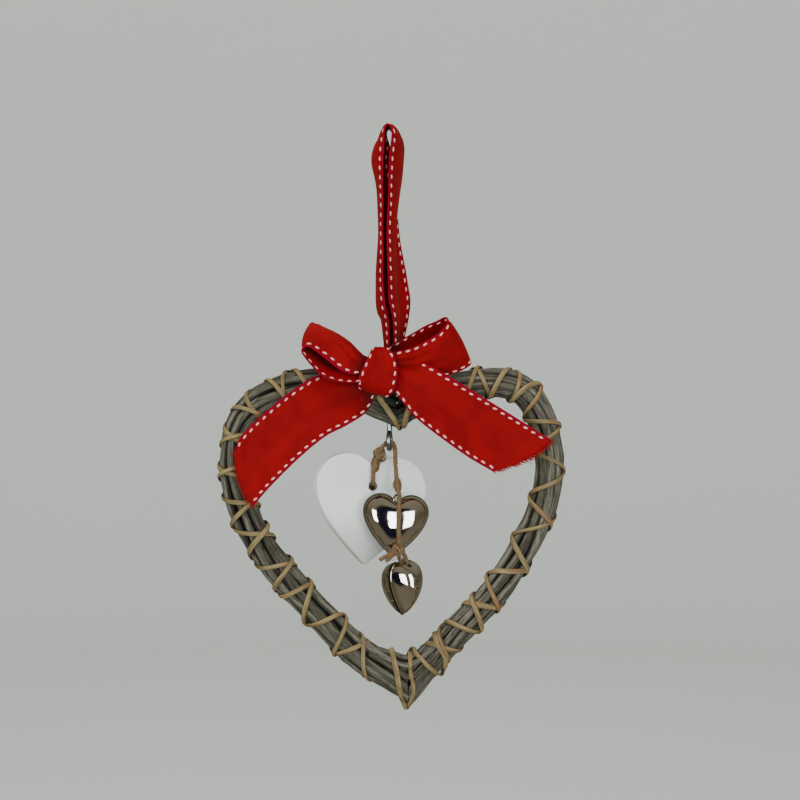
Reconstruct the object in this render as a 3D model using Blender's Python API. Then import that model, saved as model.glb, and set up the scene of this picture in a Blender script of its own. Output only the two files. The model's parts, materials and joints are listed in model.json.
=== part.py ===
# Wicker heart ornament: a heart of bound willow rods that hangs from a ribbon loop with a bow,
# with a wooden heart and two heart bells on twine in its middle.
# Metres, +Z up, the front faces -Y. The origin is the inside top of the ribbon loop.

import math

import bmesh
import bpy
from mathutils import Matrix, Vector

MM = 0.001
UP = Vector((0.0, 0.0, 1.0))
BACK = Vector((0.0, 1.0, 0.0))

# Gap kept between pieces that touch
TOUCH_GAP = 0.3 * MM

# Heart frame, measured outside its bindings
HEART_WIDTH = 150.0 * MM
HEART_HEIGHT = 147.0 * MM
HEART_TOP_DROP = 103.0 * MM
HEART_SIDE_SHIFT = 1.5 * MM

# Willow rods and the cane that binds them
LEFT_ROD_DIAMETER = 3.3 * MM
RIGHT_ROD_DIAMETER = 2.8 * MM
RODS_IN_RING = 8
ROD_SIDES = 6
ROD_STATIONS = 20
ROD_TWIST = math.radians(75.0)
CANE_WIDTH = 2.3 * MM
CANE_THICKNESS = 0.6 * MM
CANE_STEPS_PER_TURN = 10
LEFT_CANE_PITCH = 17.0 * MM
RIGHT_CANE_PITCH = 20.0 * MM
SECOND_CANE_START = math.radians(150.0)

# Reach of the cane round the tip, below and above the joint's middle, as shares of the bundle's radius
TIP_CANE_DROP = 1.6
TIP_CANE_RISE = 1.75

# At the dip the upper rods part from the lower ones to let the ribbon through
DIP_OPENING = 3.4 * MM
DIP_SPREAD_LENGTH = 24.0 * MM
STRAP_WIDTH = 8.0 * MM
STRAP_THICKNESS = 1.2 * MM

# Ribbon; the bow's knot stands off the bound rods and sits above the dip
RIBBON_WIDTH = 25.0 * MM
RIBBON_THICKNESS = 0.8 * MM
LOOP_FOOT_RISE = 18.4 * MM
KNOT_STAND_OFF = 3.8 * MM
KNOT_RISE = 16.6 * MM
KNOT_SIDE_SHIFT = -8.0 * MM

# Eye and twine
EYE_WIRE = 1.3 * MM
EYE_INNER = 5.6 * MM
EYE_NECK = 2.3 * MM
EYE_SHANK = 6.0 * MM
EYE_SIDE_SHIFT = 0.6 * MM
EYE_TURN = math.radians(80.0)
TWINE_DIAMETER = 1.6 * MM

# Room round the twine in the wooden heart's hole and in the bells' loops
HOLE_ROOM = 1.4 * MM
LOOP_ROOM = 1.8 * MM

# Wooden heart
WOOD_WIDTH = 50.0 * MM
WOOD_HEIGHT = 46.6 * MM
WOOD_THICKNESS = 6.0 * MM
WOOD_HOLE_DROP = 13.5 * MM
WOOD_TURN = math.radians(22.0)
WOOD_ROLL = math.radians(6.0)
WOOD_EDGE = 0.5 * MM

# Bells
LARGE_BELL_WIDTH = 28.0 * MM
LARGE_BELL_HEIGHT = 27.0 * MM
LARGE_BELL_DEPTH = 15.0 * MM
SMALL_BELL_WIDTH = 22.0 * MM
SMALL_BELL_HEIGHT = 23.0 * MM
SMALL_BELL_DEPTH = 15.5 * MM
SMALL_BELL_TURN = math.radians(61.0)
BELL_WIRE = 0.9 * MM

# Places of the charms' tops, from the middle of the eye, and the room between them
WOOD_SIDE = -8.3 * MM
WOOD_DROP = 6.2 * MM
LARGE_BELL_SIDE = 2.8 * MM
LARGE_BELL_DROP = 22.5 * MM
SMALL_BELL_SIDE = 5.4 * MM
WOOD_TO_BELL = 1.9 * MM
BELL_TO_BELL = 1.2 * MM


def clear_objects():
    """Remove what the file holds before building."""
    for old in list(bpy.data.objects):
        bpy.data.objects.remove(old, do_unlink=True)


def make_material(name, color, roughness, metallic=0.0):
    """A Principled material with one colour."""
    material = bpy.data.materials.new(name)
    material.use_nodes = True
    shader = material.node_tree.nodes["Principled BSDF"]
    shader.inputs["Base Color"].default_value = (*color, 1.0)
    shader.inputs["Roughness"].default_value = roughness
    shader.inputs["Metallic"].default_value = metallic
    material.diffuse_color = (*color, 1.0)
    return material


def add_object(name, bm, material, smooth=True):
    """Store a bmesh as a named object of its own."""
    bmesh.ops.recalc_face_normals(bm, faces=bm.faces[:])
    mesh = bpy.data.meshes.new(name)
    bm.to_mesh(mesh)
    bm.free()
    if smooth:
        mesh.shade_smooth()
        mesh.set_sharp_from_angle(angle=math.radians(40.0))
    obj = bpy.data.objects.new(name, mesh)
    obj.data.materials.append(material)
    bpy.context.scene.collection.objects.link(obj)
    return obj


# Curves and lofts


def spline_point(points, position):
    """Catmull-Rom point at a position counted in control points."""
    last = len(points) - 1
    index = min(int(position), last - 1)
    t = position - index
    p1 = points[index]
    p2 = points[index + 1]
    p0 = points[index - 1] if index > 0 else p1 * 2 - p2
    p3 = points[index + 2] if index + 2 <= last else p2 * 2 - p1
    return 0.5 * (2 * p1 + (p2 - p0) * t + (2 * p0 - 5 * p1 + 4 * p2 - p3) * t * t
                  + (3 * p1 - p0 - 3 * p2 + p3) * t ** 3)


def spline_dense(points, per_span=24):
    """Many points along the smooth curve through the control points."""
    spans = len(points) - 1
    return [spline_point(points, i / per_span) for i in range(spans * per_span + 1)]


def even_points(dense, count):
    """Resample a dense line at even distances."""
    lengths = [0.0]
    for a, b in zip(dense, dense[1:]):
        lengths.append(lengths[-1] + (b - a).length)
    total = lengths[-1]
    result = []
    j = 0
    for i in range(count):
        want = total * i / (count - 1)
        while j < len(dense) - 2 and lengths[j + 1] < want:
            j += 1
        span = lengths[j + 1] - lengths[j]
        share = (want - lengths[j]) / span if span > 0 else 0.0
        result.append(dense[j].lerp(dense[j + 1], share))
    return result, total


def tangents_of(points):
    """Unit direction at each point of a line."""
    last = len(points) - 1
    return [(points[min(i + 1, last)] - points[max(i - 1, 0)]).normalized() for i in range(last + 1)]


def loft(rings, closed=False, poles=None):
    """Join equal rings of points into one closed skin, whose ends are flat or run to two poles."""
    bm = bmesh.new()
    rows = [[bm.verts.new(p) for p in ring] for ring in rings]
    size = len(rows[0])
    pairs = list(zip(rows, rows[1:]))
    if closed:
        pairs.append((rows[-1], rows[0]))
    for low, high in pairs:
        for k in range(size):
            m = (k + 1) % size
            bm.faces.new((low[k], low[m], high[m], high[k]))
    if poles:
        for row, place in zip((rows[0], rows[-1]), poles):
            pole = bm.verts.new(place)
            for k in range(size):
                bm.faces.new((row[k], row[(k + 1) % size], pole))
    elif not closed:
        bm.faces.new(rows[0])
        bm.faces.new(rows[-1])
    return bm


def smooth_step(value):
    """Ease from 0 to 1."""
    value = max(0.0, min(1.0, value))
    return value * value * (3.0 - 2.0 * value)


# The heart's course: shares of its width from its middle, and of its height from its lowest point.
# Each half runs from the dip, over its lobe and down to the tip.
LEFT_COURSE = [(0.015, 0.917), (-0.074, 0.956), (-0.154, 0.989), (-0.241, 1.0), (-0.330, 0.982),
               (-0.420, 0.933), (-0.481, 0.858), (-0.500, 0.753), (-0.484, 0.632), (-0.426, 0.498),
               (-0.343, 0.373), (-0.228, 0.245), (-0.094, 0.108), (0.050, 0.0)]
RIGHT_COURSE = [(0.015, 0.917), (0.066, 0.946), (0.143, 0.982), (0.233, 1.0), (0.329, 0.997),
                (0.406, 0.975), (0.457, 0.920), (0.489, 0.831), (0.500, 0.720), (0.479, 0.599),
                (0.422, 0.475), (0.332, 0.334), (0.233, 0.223), (0.130, 0.108), (0.050, 0.0)]


def ring_radius(rod_diameter):
    """Distance from the bundle's middle to the rods that lie side by side round it."""
    return (rod_diameter + TOUCH_GAP) / (2.0 * math.sin(math.pi / RODS_IN_RING))


def bundle_radius(rod_diameter):
    return ring_radius(rod_diameter) + rod_diameter / 2.0


def cane_layer(rod_diameter):
    """What one layer of cane adds, with the room its straight steps need."""
    chord_sag = bundle_radius(rod_diameter) * (1.0 - math.cos(math.pi / CANE_STEPS_PER_TURN))
    return chord_sag + TOUCH_GAP + CANE_THICKNESS


def cane_radius(rod_diameter, layer):
    """Middle of a cane strip in the first or the second layer."""
    return bundle_radius(rod_diameter) + layer * cane_layer(rod_diameter) - CANE_THICKNESS / 2.0


def bound_radius(rod_diameter):
    """Bundle with both layers of cane on it."""
    return bundle_radius(rod_diameter) + 2.0 * cane_layer(rod_diameter)


class Half:
    """One lobe: its course, its rods' size and its side."""

    def __init__(self, name, shares, rod_diameter, pitch, side):
        self.name = name
        self.rod_diameter = rod_diameter
        self.pitch = pitch
        self.side = side
        width = HEART_WIDTH - bound_radius(LEFT_ROD_DIAMETER) - bound_radius(RIGHT_ROD_DIAMETER)
        middle = HEART_SIDE_SHIFT + (bound_radius(LEFT_ROD_DIAMETER) - bound_radius(RIGHT_ROD_DIAMETER)) / 2
        tip_allowance = TIP_CANE_DROP * bundle_radius(LEFT_ROD_DIAMETER) + CANE_THICKNESS / 2.0
        height = HEART_HEIGHT - bound_radius(LEFT_ROD_DIAMETER) - tip_allowance
        top = -HEART_TOP_DROP - bound_radius(LEFT_ROD_DIAMETER)
        self.points = [Vector((middle + x * width, 0.0, top - height * (1.0 - z))) for x, z in shares]
        self.dip = self.points[0].copy()
        self.tip = self.points[-1].copy()
        overrun = 3.0 * rod_diameter
        start = self.points[0] + (self.points[0] - self.points[1]).normalized() * overrun
        finish = self.points[-1] + (self.points[-1] - self.points[-2]).normalized() * overrun
        self.dense = [start] + spline_dense(self.points) + [finish]
        self.overrun = overrun
        self.line = self.stations()

    def stations(self):
        """Even points, each with its outward direction and its way from the dip."""
        points, total = even_points(self.dense, ROD_STATIONS)
        self.length = total - 2.0 * self.overrun
        result = []
        for i, (point, tangent) in enumerate(zip(points, tangents_of(points))):
            outward = Vector((tangent.z, 0.0, -tangent.x)) * self.side
            way = total * i / (ROD_STATIONS - 1) - self.overrun
            result.append((point, outward, way))
        return result

    def at(self, way):
        """Point, outward direction and lift at a way, straight between the rods' stations."""
        line = self.line
        step = line[1][2] - line[0][2]
        position = max(0.0, min((way - line[0][2]) / step, len(line) - 1.001))
        index = int(position)
        share = position - index
        low = line[index]
        high = line[index + 1]
        lift = self.lift(low[2]) * (1.0 - share) + self.lift(high[2]) * share
        return low[0].lerp(high[0], share), low[1].lerp(high[1], share), lift

    def lift(self, way):
        """How far the upper and lower rods stand off their places near the dip."""
        return DIP_OPENING / 2.0 * smooth_step(1.0 - way / DIP_SPREAD_LENGTH)


def cut_at_joint(bm, half):
    """Mitre both ends of a rod on the plane through the dip and the tip where the halves meet."""
    plane_normal = (half.dip - half.tip).cross(BACK).normalized() * -half.side
    plane_point = half.dip - plane_normal * TOUCH_GAP / 2.0
    geometry = bm.verts[:] + bm.edges[:] + bm.faces[:]
    bmesh.ops.bisect_plane(bm, geom=geometry, plane_co=plane_point, plane_no=plane_normal,
                           clear_outer=True, dist=1e-7)
    rim = [edge for edge in bm.edges if edge.is_boundary]
    bmesh.ops.holes_fill(bm, edges=rim, sides=0)


def build_rod(half, number, material):
    """One outer rod of a bundle, twisting slowly round its middle."""
    start_angle = (number - 0.5) * math.tau / RODS_IN_RING
    upper = math.cos(start_angle) > 0
    rings = []
    for point, outward, way in half.line:
        angle = start_angle + ROD_TWIST * max(0.0, way) / half.length
        radius = ring_radius(half.rod_diameter)
        lift = half.lift(way) * (1.0 if upper else -1.0)
        centre = point + outward * (radius * math.cos(angle) + lift) + BACK * radius * math.sin(angle)
        ring = []
        for k in range(ROD_SIDES):
            turn = k * math.tau / ROD_SIDES + angle
            ring.append(centre + half.rod_diameter / 2 * (outward * math.cos(turn) + BACK * math.sin(turn)))
        rings.append(ring)
    bm = loft(rings)
    cut_at_joint(bm, half)
    return add_object("%s_rod_%d" % (half.name, number), bm, material)


def build_inner_rod(half, material):
    """The rod inside the ring, which starts past the ribbon's way through the dip."""
    radius = ring_radius(half.rod_diameter) - half.rod_diameter / 2 - TOUCH_GAP
    start_way = STRAP_WIDTH
    rings = []
    for point, outward, way in half.line:
        if way < start_way:
            continue
        ring = []
        for k in range(ROD_SIDES):
            turn = k * math.tau / ROD_SIDES
            ring.append(point + radius * (outward * math.cos(turn) + BACK * math.sin(turn)))
        rings.append(ring)
    bm = loft(rings)
    cut_at_joint(bm, half)
    return add_object("%s_inner_rod" % half.name, bm, material)


def cane_ring(centre, run, away):
    """The four corners of a cane strip that runs one way and lies flat against the rods."""
    across = run.cross(away).normalized()
    outward = across.cross(run).normalized()
    half_width = across * CANE_WIDTH / 2
    half_thickness = outward * CANE_THICKNESS / 2
    return [centre - half_width - half_thickness, centre + half_width - half_thickness,
            centre + half_width + half_thickness, centre - half_width + half_thickness]


def loft_cane(name, centres, middles, material):
    """A flat strip through the centres, facing away from the middles."""
    rings = []
    for centre, middle, run in zip(centres, middles, tangents_of(centres)):
        rings.append(cane_ring(centre, run, centre - middle))
    return add_object(name, loft(rings), material)


def build_cane(half, letter, hand, start_turn, material):
    """A strip wound round a bundle; the second one is wound the other way, over the first."""
    dip_clearance = STRAP_WIDTH / 2 + CANE_WIDTH + 2.0 * TOUCH_GAP
    tip_clearance = bundle_radius(half.rod_diameter) * 2.2 + CANE_WIDTH
    length = half.length - dip_clearance - tip_clearance
    count = int(length / half.pitch * CANE_STEPS_PER_TURN)
    radius = cane_radius(half.rod_diameter, 1 if letter == "a" else 2)
    centres = []
    middles = []
    for i in range(count + 1):
        way = dip_clearance + length * i / count
        point, outward, lift = half.at(way)
        angle = hand * math.tau * way / half.pitch + start_turn
        centre = point + outward * (radius + lift) * math.cos(angle)
        centre = centre + BACK * (radius + 0.4 * lift) * math.sin(angle)
        centres.append(centre)
        middles.append(point)
    return loft_cane("%s_cane_%s" % (half.name, letter), centres, middles, material)


def build_tip_cane(left, material):
    """Two turns round the joint at the tip, spread at the top and close together at the point."""
    radius = bundle_radius(LEFT_ROD_DIAMETER)
    half_depth = cane_radius(LEFT_ROD_DIAMETER, 2)
    turns = 2
    steps = turns * 2 * CANE_STEPS_PER_TURN
    spread_top = 2.8 * CANE_WIDTH
    spread_bottom = 1.3 * CANE_WIDTH
    centres = []
    middles = []
    for i in range(steps + 1):
        angle = i / steps * turns * math.tau + math.pi
        rise = (1.0 + math.cos(angle)) / 2.0
        spread = spread_bottom + (spread_top - spread_bottom) * rise
        side = (i / steps - 0.5) * spread * turns / 2.0
        height = TIP_CANE_DROP * radius
        if math.cos(angle) > 0:
            height = TIP_CANE_RISE * radius + 1.2 * abs(side)
        middle = left.tip + Vector((side, 0.0, 0.0))
        middles.append(middle)
        centres.append(middle + UP * height * math.cos(angle) - BACK * half_depth * math.sin(angle))
    return loft_cane("tip_cane", centres, middles, material)


# Ribbon


def ribbon_loft(edge_a, edge_b, bulges, steps=2, columns=2):
    """A ribbon between two edge lines, bowed across by the bulge at each of their points."""
    line_a = spline_dense(edge_a, steps)
    line_b = spline_dense(edge_b, steps)
    tangents = tangents_of([a.lerp(b, 0.5) for a, b in zip(line_a, line_b)])
    rings = []
    for a, b, tangent, bulge in zip(line_a, line_b, tangents, spline_dense(bulges, steps)):
        normal = (b - a).cross(tangent).normalized()
        line = []
        for k in range(columns + 1):
            share = k / columns
            line.append(a.lerp(b, share) + normal * bulge * (1.0 - (2.0 * share - 1.0) ** 2))
        rise = normal * RIBBON_THICKNESS / 2
        rings.append([p + rise for p in line] + [p - rise for p in reversed(line)])
    return loft(rings)


def hang_points(rows, foot):
    """Points of the loop from rows of x and y, as shares of the ribbon's width, and share of the drop."""
    top = RIBBON_THICKNESS / 2
    points = []
    for x, y, drop in rows:
        place = Vector((x * RIBBON_WIDTH + foot.x * drop, y * RIBBON_WIDTH, top + (foot.z - top) * drop))
        points.append(place)
    return points


def bow_points(rows, knot):
    """Points of the bow from rows of shares of the ribbon's width from the middle of the knot."""
    return [knot + Vector(row) * RIBBON_WIDTH for row in rows]


def join_with_boolean(target, others):
    """Fuse pieces of one ribbon into one body."""
    for other in others:
        modifier = target.modifiers.new("join", "BOOLEAN")
        modifier.operation = "UNION"
        modifier.object = other
        modifier.solver = "EXACT"
        hide_helper(other)


# Front and back edges of the hanging loop, from its foot up the left leg, over the top and down the right
# leg, and how far the ribbon bows outwards between them as a share of its width
LOOP_FRONT = [(-0.14, -0.22, 1.0), (-0.13, -0.28, 0.943), (-0.11, -0.40, 0.885), (-0.12, -0.60, 0.802),
              (-0.16, -0.66, 0.750), (-0.18, -0.66, 0.630), (-0.15, -0.66, 0.451), (-0.13, -0.66, 0.284),
              (-0.10, -0.66, 0.167), (-0.07, -0.66, 0.090), (-0.06, -0.66, 0.034), (0.0, -0.66, 0.0),
              (0.05, -0.66, 0.034), (0.04, -0.66, 0.090), (0.01, -0.66, 0.167), (-0.04, -0.66, 0.331),
              (-0.09, -0.66, 0.483), (-0.10, -0.66, 0.650), (-0.10, -0.66, 0.731), (-0.05, -0.60, 0.802),
              (-0.04, -0.40, 0.885), (-0.04, -0.28, 0.943), (-0.02, -0.22, 1.0)]
LOOP_BACK = [(-0.10, 0.26, 1.0), (-0.10, 0.25, 0.933), (-0.10, 0.24, 0.874), (-0.08, 0.22, 0.790),
             (-0.06, 0.20, 0.737), (-0.02, 0.18, 0.612), (0.03, 0.18, 0.426), (0.02, 0.18, 0.253),
             (-0.03, 0.16, 0.157), (-0.03, 0.20, 0.089), (-0.09, 0.26, 0.031), (0.0, 0.28, 0.0),
             (0.17, 0.28, 0.031), (0.23, 0.28, 0.089), (0.22, 0.28, 0.157), (0.16, 0.28, 0.303),
             (0.16, 0.28, 0.444), (0.24, 0.28, 0.633), (0.27, 0.28, 0.716), (0.23, 0.28, 0.790),
             (0.14, 0.28, 0.874), (0.09, 0.26, 0.933), (0.04, 0.26, 1.0)]
LOOP_BULGE = [0.06, 0.14, 0.18, 0.20, 0.23, 0.20, 0.16, 0.18, 0.25, 0.20, 0.07, 0.0,
              0.02, 0.06, 0.06, 0.02, 0.02, 0.02, 0.02, 0.02, 0.02, 0.02, 0.02]

# The strap's way round the upper rods, across the bundle: shares of its half depth towards the back,
# and of the height from the dip to the loop's foot
STRAP_WAY = [(-1.0, 0.12), (-1.0, 0.5), (-1.0, 0.9), (-0.6, 1.0), (0.0, 1.0), (0.6, 1.0),
             (1.0, 0.9), (1.0, 0.5), (1.0, 0.12), (0.86, 0.0), (0.0, 0.0), (-0.86, 0.0)]


def build_hanging_ribbon(left, material):
    """The loop, fused with the strap that passes under the upper rods at the dip."""
    foot = left.dip + UP * LOOP_FOOT_RISE
    bulges = [-share * RIBBON_WIDTH for share in LOOP_BULGE]
    body = ribbon_loft(hang_points(LOOP_FRONT, foot), hang_points(LOOP_BACK, foot), bulges)
    loop = add_object("hanging_ribbon", body, material)
    half_depth = bundle_radius(LEFT_ROD_DIAMETER) + TOUCH_GAP + STRAP_THICKNESS / 2
    slope = (left.points[1].z - left.points[0].z) / (left.points[0].x - left.points[1].x)
    centres = [left.dip + BACK * depth * half_depth + UP * rise * LOOP_FOOT_RISE for depth, rise in STRAP_WAY]
    count = len(centres)
    rings = []
    for i, centre in enumerate(centres):
        run = (centres[(i + 1) % count] - centres[i - 1]).normalized()
        normal = run.cross(Vector((1.0, 0.0, 0.0))).normalized() * STRAP_THICKNESS / 2
        line = []
        for side in (-STRAP_WIDTH / 2, 0.0, STRAP_WIDTH / 2):
            line.append(centre + Vector((side, 0.0, abs(side) * slope)))
        rings.append([p + normal for p in line] + [p - normal for p in reversed(line)])
    strap = add_object("strap_to_join", loft(rings, closed=True), material)
    join_with_boolean(loop, [strap])
    return loop


# Bow: the mouth edge and the far edge of each loop, and both edges of each tail
LEFT_LOOP_MOUTH = [(-0.16, -0.02, 0.07), (-0.44, -0.10, 0.07), (-0.80, -0.18, 0.28), (-1.06, -0.22, 0.46),
                   (-1.21, -0.20, 0.48), (-1.25, -0.14, 0.38), (-1.22, -0.09, 0.26), (-1.12, -0.06, 0.15),
                   (-0.94, -0.04, -0.01), (-0.64, -0.02, -0.09), (-0.36, 0.0, -0.10), (-0.16, 0.02, -0.07)]
LEFT_LOOP_FAR = [(-0.08, 0.06, 0.27), (-0.30, 0.26, 0.45), (-0.65, 0.50, 0.67), (-0.98, 0.62, 0.79),
                 (-1.12, 0.64, 0.82), (-1.18, 0.66, 0.73), (-1.14, 0.70, 0.62), (-1.05, 0.72, 0.51),
                 (-0.86, 0.66, 0.37), (-0.58, 0.50, 0.29), (-0.32, 0.32, 0.17), (-0.08, 0.12, 0.11)]
RIGHT_LOOP_MOUTH = [(0.12, -0.08, 0.31), (0.36, -0.12, 0.35), (0.62, -0.16, 0.43), (0.92, -0.18, 0.59),
                    (1.09, -0.17, 0.74), (1.15, -0.10, 0.88), (1.10, 0.0, 0.92), (0.98, 0.06, 0.86),
                    (0.79, 0.10, 0.78), (0.45, 0.12, 0.58), (0.12, 0.08, 0.39)]
RIGHT_LOOP_FAR = [(0.16, -0.06, 0.09), (0.46, 0.0, -0.01), (0.78, 0.04, -0.07), (1.22, 0.08, -0.03),
                  (1.48, 0.13, 0.07), (1.56, 0.22, 0.15), (1.50, 0.34, 0.21), (1.36, 0.42, 0.23),
                  (1.10, 0.42, 0.21), (0.56, 0.24, 0.17), (0.16, 0.10, 0.17)]
RIGHT_TAIL_UPPER = [(0.12, 0.0, 0.25), (0.33, -0.01, 0.29), (0.87, 0.01, 0.10), (1.20, 0.04, -0.08),
                    (2.05, 0.08, -0.60), (2.92, 0.10, -1.14)]
RIGHT_TAIL_LOWER = [(0.04, 0.02, -0.13), (0.20, 0.02, -0.25), (0.53, 0.04, -0.66), (0.94, 0.09, -1.02),
                    (1.48, 0.12, -1.41), (1.92, 0.12, -1.67)]
LEFT_TAIL_UPPER = [(-0.12, 0.0, -0.09), (-0.44, 0.03, -0.12), (-0.98, 0.07, -0.07), (-1.34, 0.10, -0.23),
                   (-1.88, 0.10, -0.65), (-2.30, 0.08, -1.06), (-2.41, 0.06, -1.29)]
LEFT_TAIL_LOWER = [(-0.04, 0.02, -0.29), (-0.18, 0.04, -0.65), (-0.52, 0.07, -0.89), (-0.90, 0.10, -1.09),
                   (-1.36, 0.10, -1.47), (-1.84, 0.09, -1.95), (-2.09, 0.07, -2.24)]

# The knot: its width, depth and height as shares of the ribbon's width, its lean, and how square it is
KNOT_SHARES = (0.64, 0.344, 0.848)
KNOT_LEAN = math.radians(-8.0)
KNOT_SQUARENESS = 0.75


def build_bow(left, material):
    """Knot, two loops and two tails of one ribbon, in front of the dip."""
    front = -bound_radius(LEFT_ROD_DIAMETER)
    knot = left.dip + Vector((KNOT_SIDE_SHIFT, front - KNOT_STAND_OFF, KNOT_RISE))
    bm = bmesh.new()
    bmesh.ops.create_uvsphere(bm, u_segments=12, v_segments=8, radius=0.5)
    for vert in bm.verts:
        for axis in range(3):
            share = abs(vert.co[axis]) * 2.0
            vert.co[axis] = math.copysign(share ** KNOT_SQUARENESS / 2.0, vert.co[axis])
    bmesh.ops.scale(bm, verts=bm.verts, vec=Vector(KNOT_SHARES) * RIBBON_WIDTH)
    bmesh.ops.rotate(bm, verts=bm.verts, matrix=Matrix.Rotation(KNOT_LEAN, 3, "Y"))
    bmesh.ops.translate(bm, verts=bm.verts, vec=knot)
    bow = add_object("bow", bm, material)
    shapes = [
        ("left_loop", LEFT_LOOP_MOUTH, LEFT_LOOP_FAR, -0.06),
        ("right_loop", RIGHT_LOOP_MOUTH, RIGHT_LOOP_FAR, 0.04),
        ("right_tail", RIGHT_TAIL_UPPER, RIGHT_TAIL_LOWER, 0.016),
        ("left_tail", LEFT_TAIL_UPPER, LEFT_TAIL_LOWER, 0.016),
    ]
    others = []
    for name, first, second, bulge in shapes:
        bulges = [bulge * RIBBON_WIDTH] * len(first)
        body = ribbon_loft(bow_points(first, knot), bow_points(second, knot), bulges)
        others.append(add_object(name + "_to_join", body, material))
    join_with_boolean(bow, others)
    return bow


# Eye, twine and charms


def ring_mesh(inner, wire, around=16, sides=6):
    """A wire ring in the XZ plane."""
    radius = inner / 2 + wire / 2
    rings = []
    for i in range(around):
        turn = i * math.tau / around
        outward = Vector((math.cos(turn), 0.0, math.sin(turn)))
        ring = []
        for k in range(sides):
            lean = k * math.tau / sides
            ring.append(outward * (radius + wire / 2 * math.cos(lean)) + BACK * wire / 2 * math.sin(lean))
        rings.append(ring)
    return loft(rings, closed=True)


def rod_bottom_at(half, x):
    """Height of the lower side of the bundle at a given x near the dip."""
    point, outward, lift = half.at(abs(half.dip.x - x))
    return (point - outward * (bundle_radius(half.rod_diameter) + lift)).z


def eye_centre(left):
    """Middle of the eye, under the rods of the left half."""
    drop = EYE_NECK + EYE_WIRE + EYE_INNER / 2
    return Vector((EYE_SIDE_SHIFT, 0.0, rod_bottom_at(left, EYE_SIDE_SHIFT) - drop))


def hide_helper(obj):
    """Keep a cutter or a joined piece out of the model."""
    obj.hide_render = True
    obj.display_type = "WIRE"


def cut_with(target, cutter):
    """Cut a piece by a hidden cutter."""
    modifier = target.modifiers.new("cut", "BOOLEAN")
    modifier.operation = "DIFFERENCE"
    modifier.object = cutter
    modifier.solver = "EXACT"
    hide_helper(cutter)


def rod_object(name, radius, depth, segments, material):
    """A plain upright cylinder."""
    bm = bmesh.new()
    bmesh.ops.create_cone(bm, cap_ends=True, segments=segments, radius1=radius, radius2=radius, depth=depth)
    return add_object(name, bm, material)


def build_screw_eye(left, material):
    """A wire eye seen edge on, with its shank up in the rods, and the cutter of the shank's way."""
    eye = add_object("screw_eye", ring_mesh(EYE_INNER, EYE_WIRE), material)
    eye.rotation_euler = (0.0, 0.0, EYE_TURN)
    eye.location = eye_centre(left)
    shank = rod_object("shank_to_join", EYE_WIRE / 2, EYE_SHANK, 8, material)
    shank.location = eye.location + UP * (EYE_INNER / 2 + EYE_WIRE / 2 + EYE_SHANK / 2)
    join_with_boolean(eye, [shank])
    cutter = rod_object("shank_hole", EYE_WIRE / 2 + TOUCH_GAP, EYE_SHANK + 2.0 * TOUCH_GAP, 8, material)
    cutter.location = shank.location
    return cutter


# Hearts of the charms: radius and offset of the lobes' arcs as shares of the width, how full the sides
# are as a share of the height, and the angle where an arc meets its side
WOOD_LOBE = 0.28
WOOD_SPREAD = 0.22
WOOD_FULLNESS = 0.26
BELL_LOBE = 0.262
BELL_SPREAD = 0.238
BELL_FULLNESS = 0.30
LOBE_END = math.radians(-8.0)


def heart_outline(width, height, lobe, spread, fullness, count):
    """A heart round its lobes' level, from the notch over the right lobe to the tip and back up."""
    radius = lobe * width
    centre_x = spread * width
    notch_angle = math.acos(-centre_x / radius)
    arc_steps = count * 3 // 5
    side_steps = count - arc_steps
    points = []
    for i in range(arc_steps + 1):
        angle = notch_angle + (LOBE_END - notch_angle) * i / arc_steps
        points.append((centre_x + radius * math.cos(angle), radius * math.sin(angle)))
    start = points[-1]
    tip = (0.0, radius - height)
    run = fullness * height
    knee = (start[0] + run * math.sin(LOBE_END), start[1] - run * math.cos(LOBE_END))
    for i in range(1, side_steps + 1):
        t = i / side_steps
        x = (1 - t) ** 2 * start[0] + 2 * t * (1 - t) * knee[0] + t * t * tip[0]
        z = (1 - t) ** 2 * start[1] + 2 * t * (1 - t) * knee[1] + t * t * tip[1]
        points.append((x, z))
    mirrored = [(-x, z) for x, z in reversed(points[1:-1])]
    return points + mirrored


def build_wooden_heart(eye, material):
    """A flat heart with a hole under its notch, turned and tilted as it hangs."""
    outline = heart_outline(WOOD_WIDTH, WOOD_HEIGHT, WOOD_LOBE, WOOD_SPREAD, WOOD_FULLNESS, 20)
    half = WOOD_THICKNESS / 2
    rings = []
    levels = [(-half, WOOD_EDGE), (-half + WOOD_EDGE, 0.0), (half - WOOD_EDGE, 0.0), (half, WOOD_EDGE)]
    for y, inset in levels:
        scale = 1.0 - 2.0 * inset / WOOD_WIDTH
        rings.append([Vector((x * scale, y, z * scale)) for x, z in outline])
    heart = add_object("wooden_heart", loft(rings), material)
    lobe_top = WOOD_LOBE * WOOD_WIDTH
    heart.location = eye + Vector((WOOD_SIDE, 0.0, -WOOD_DROP - lobe_top))
    heart.rotation_euler = (0.0, WOOD_ROLL, WOOD_TURN)
    cutter = rod_object("twine_hole", (TWINE_DIAMETER + HOLE_ROOM) / 2, WOOD_THICKNESS * 2, 12, material)
    cutter.rotation_euler = (math.radians(90.0), 0.0, 0.0)
    cutter.location = (0.0, 0.0, lobe_top - WOOD_HOLE_DROP)
    cutter.parent = heart
    cut_with(heart, cutter)
    return heart


# A bell's rings: how far each has shrunk towards the belly, how round the swell is, and the belly's drop
# as a share of the height
BELL_SHRINKS = (0.0, 0.12, 0.36, 0.68)
BELL_ROUNDNESS = 2.2
BELL_BELLY = 0.14


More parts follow.
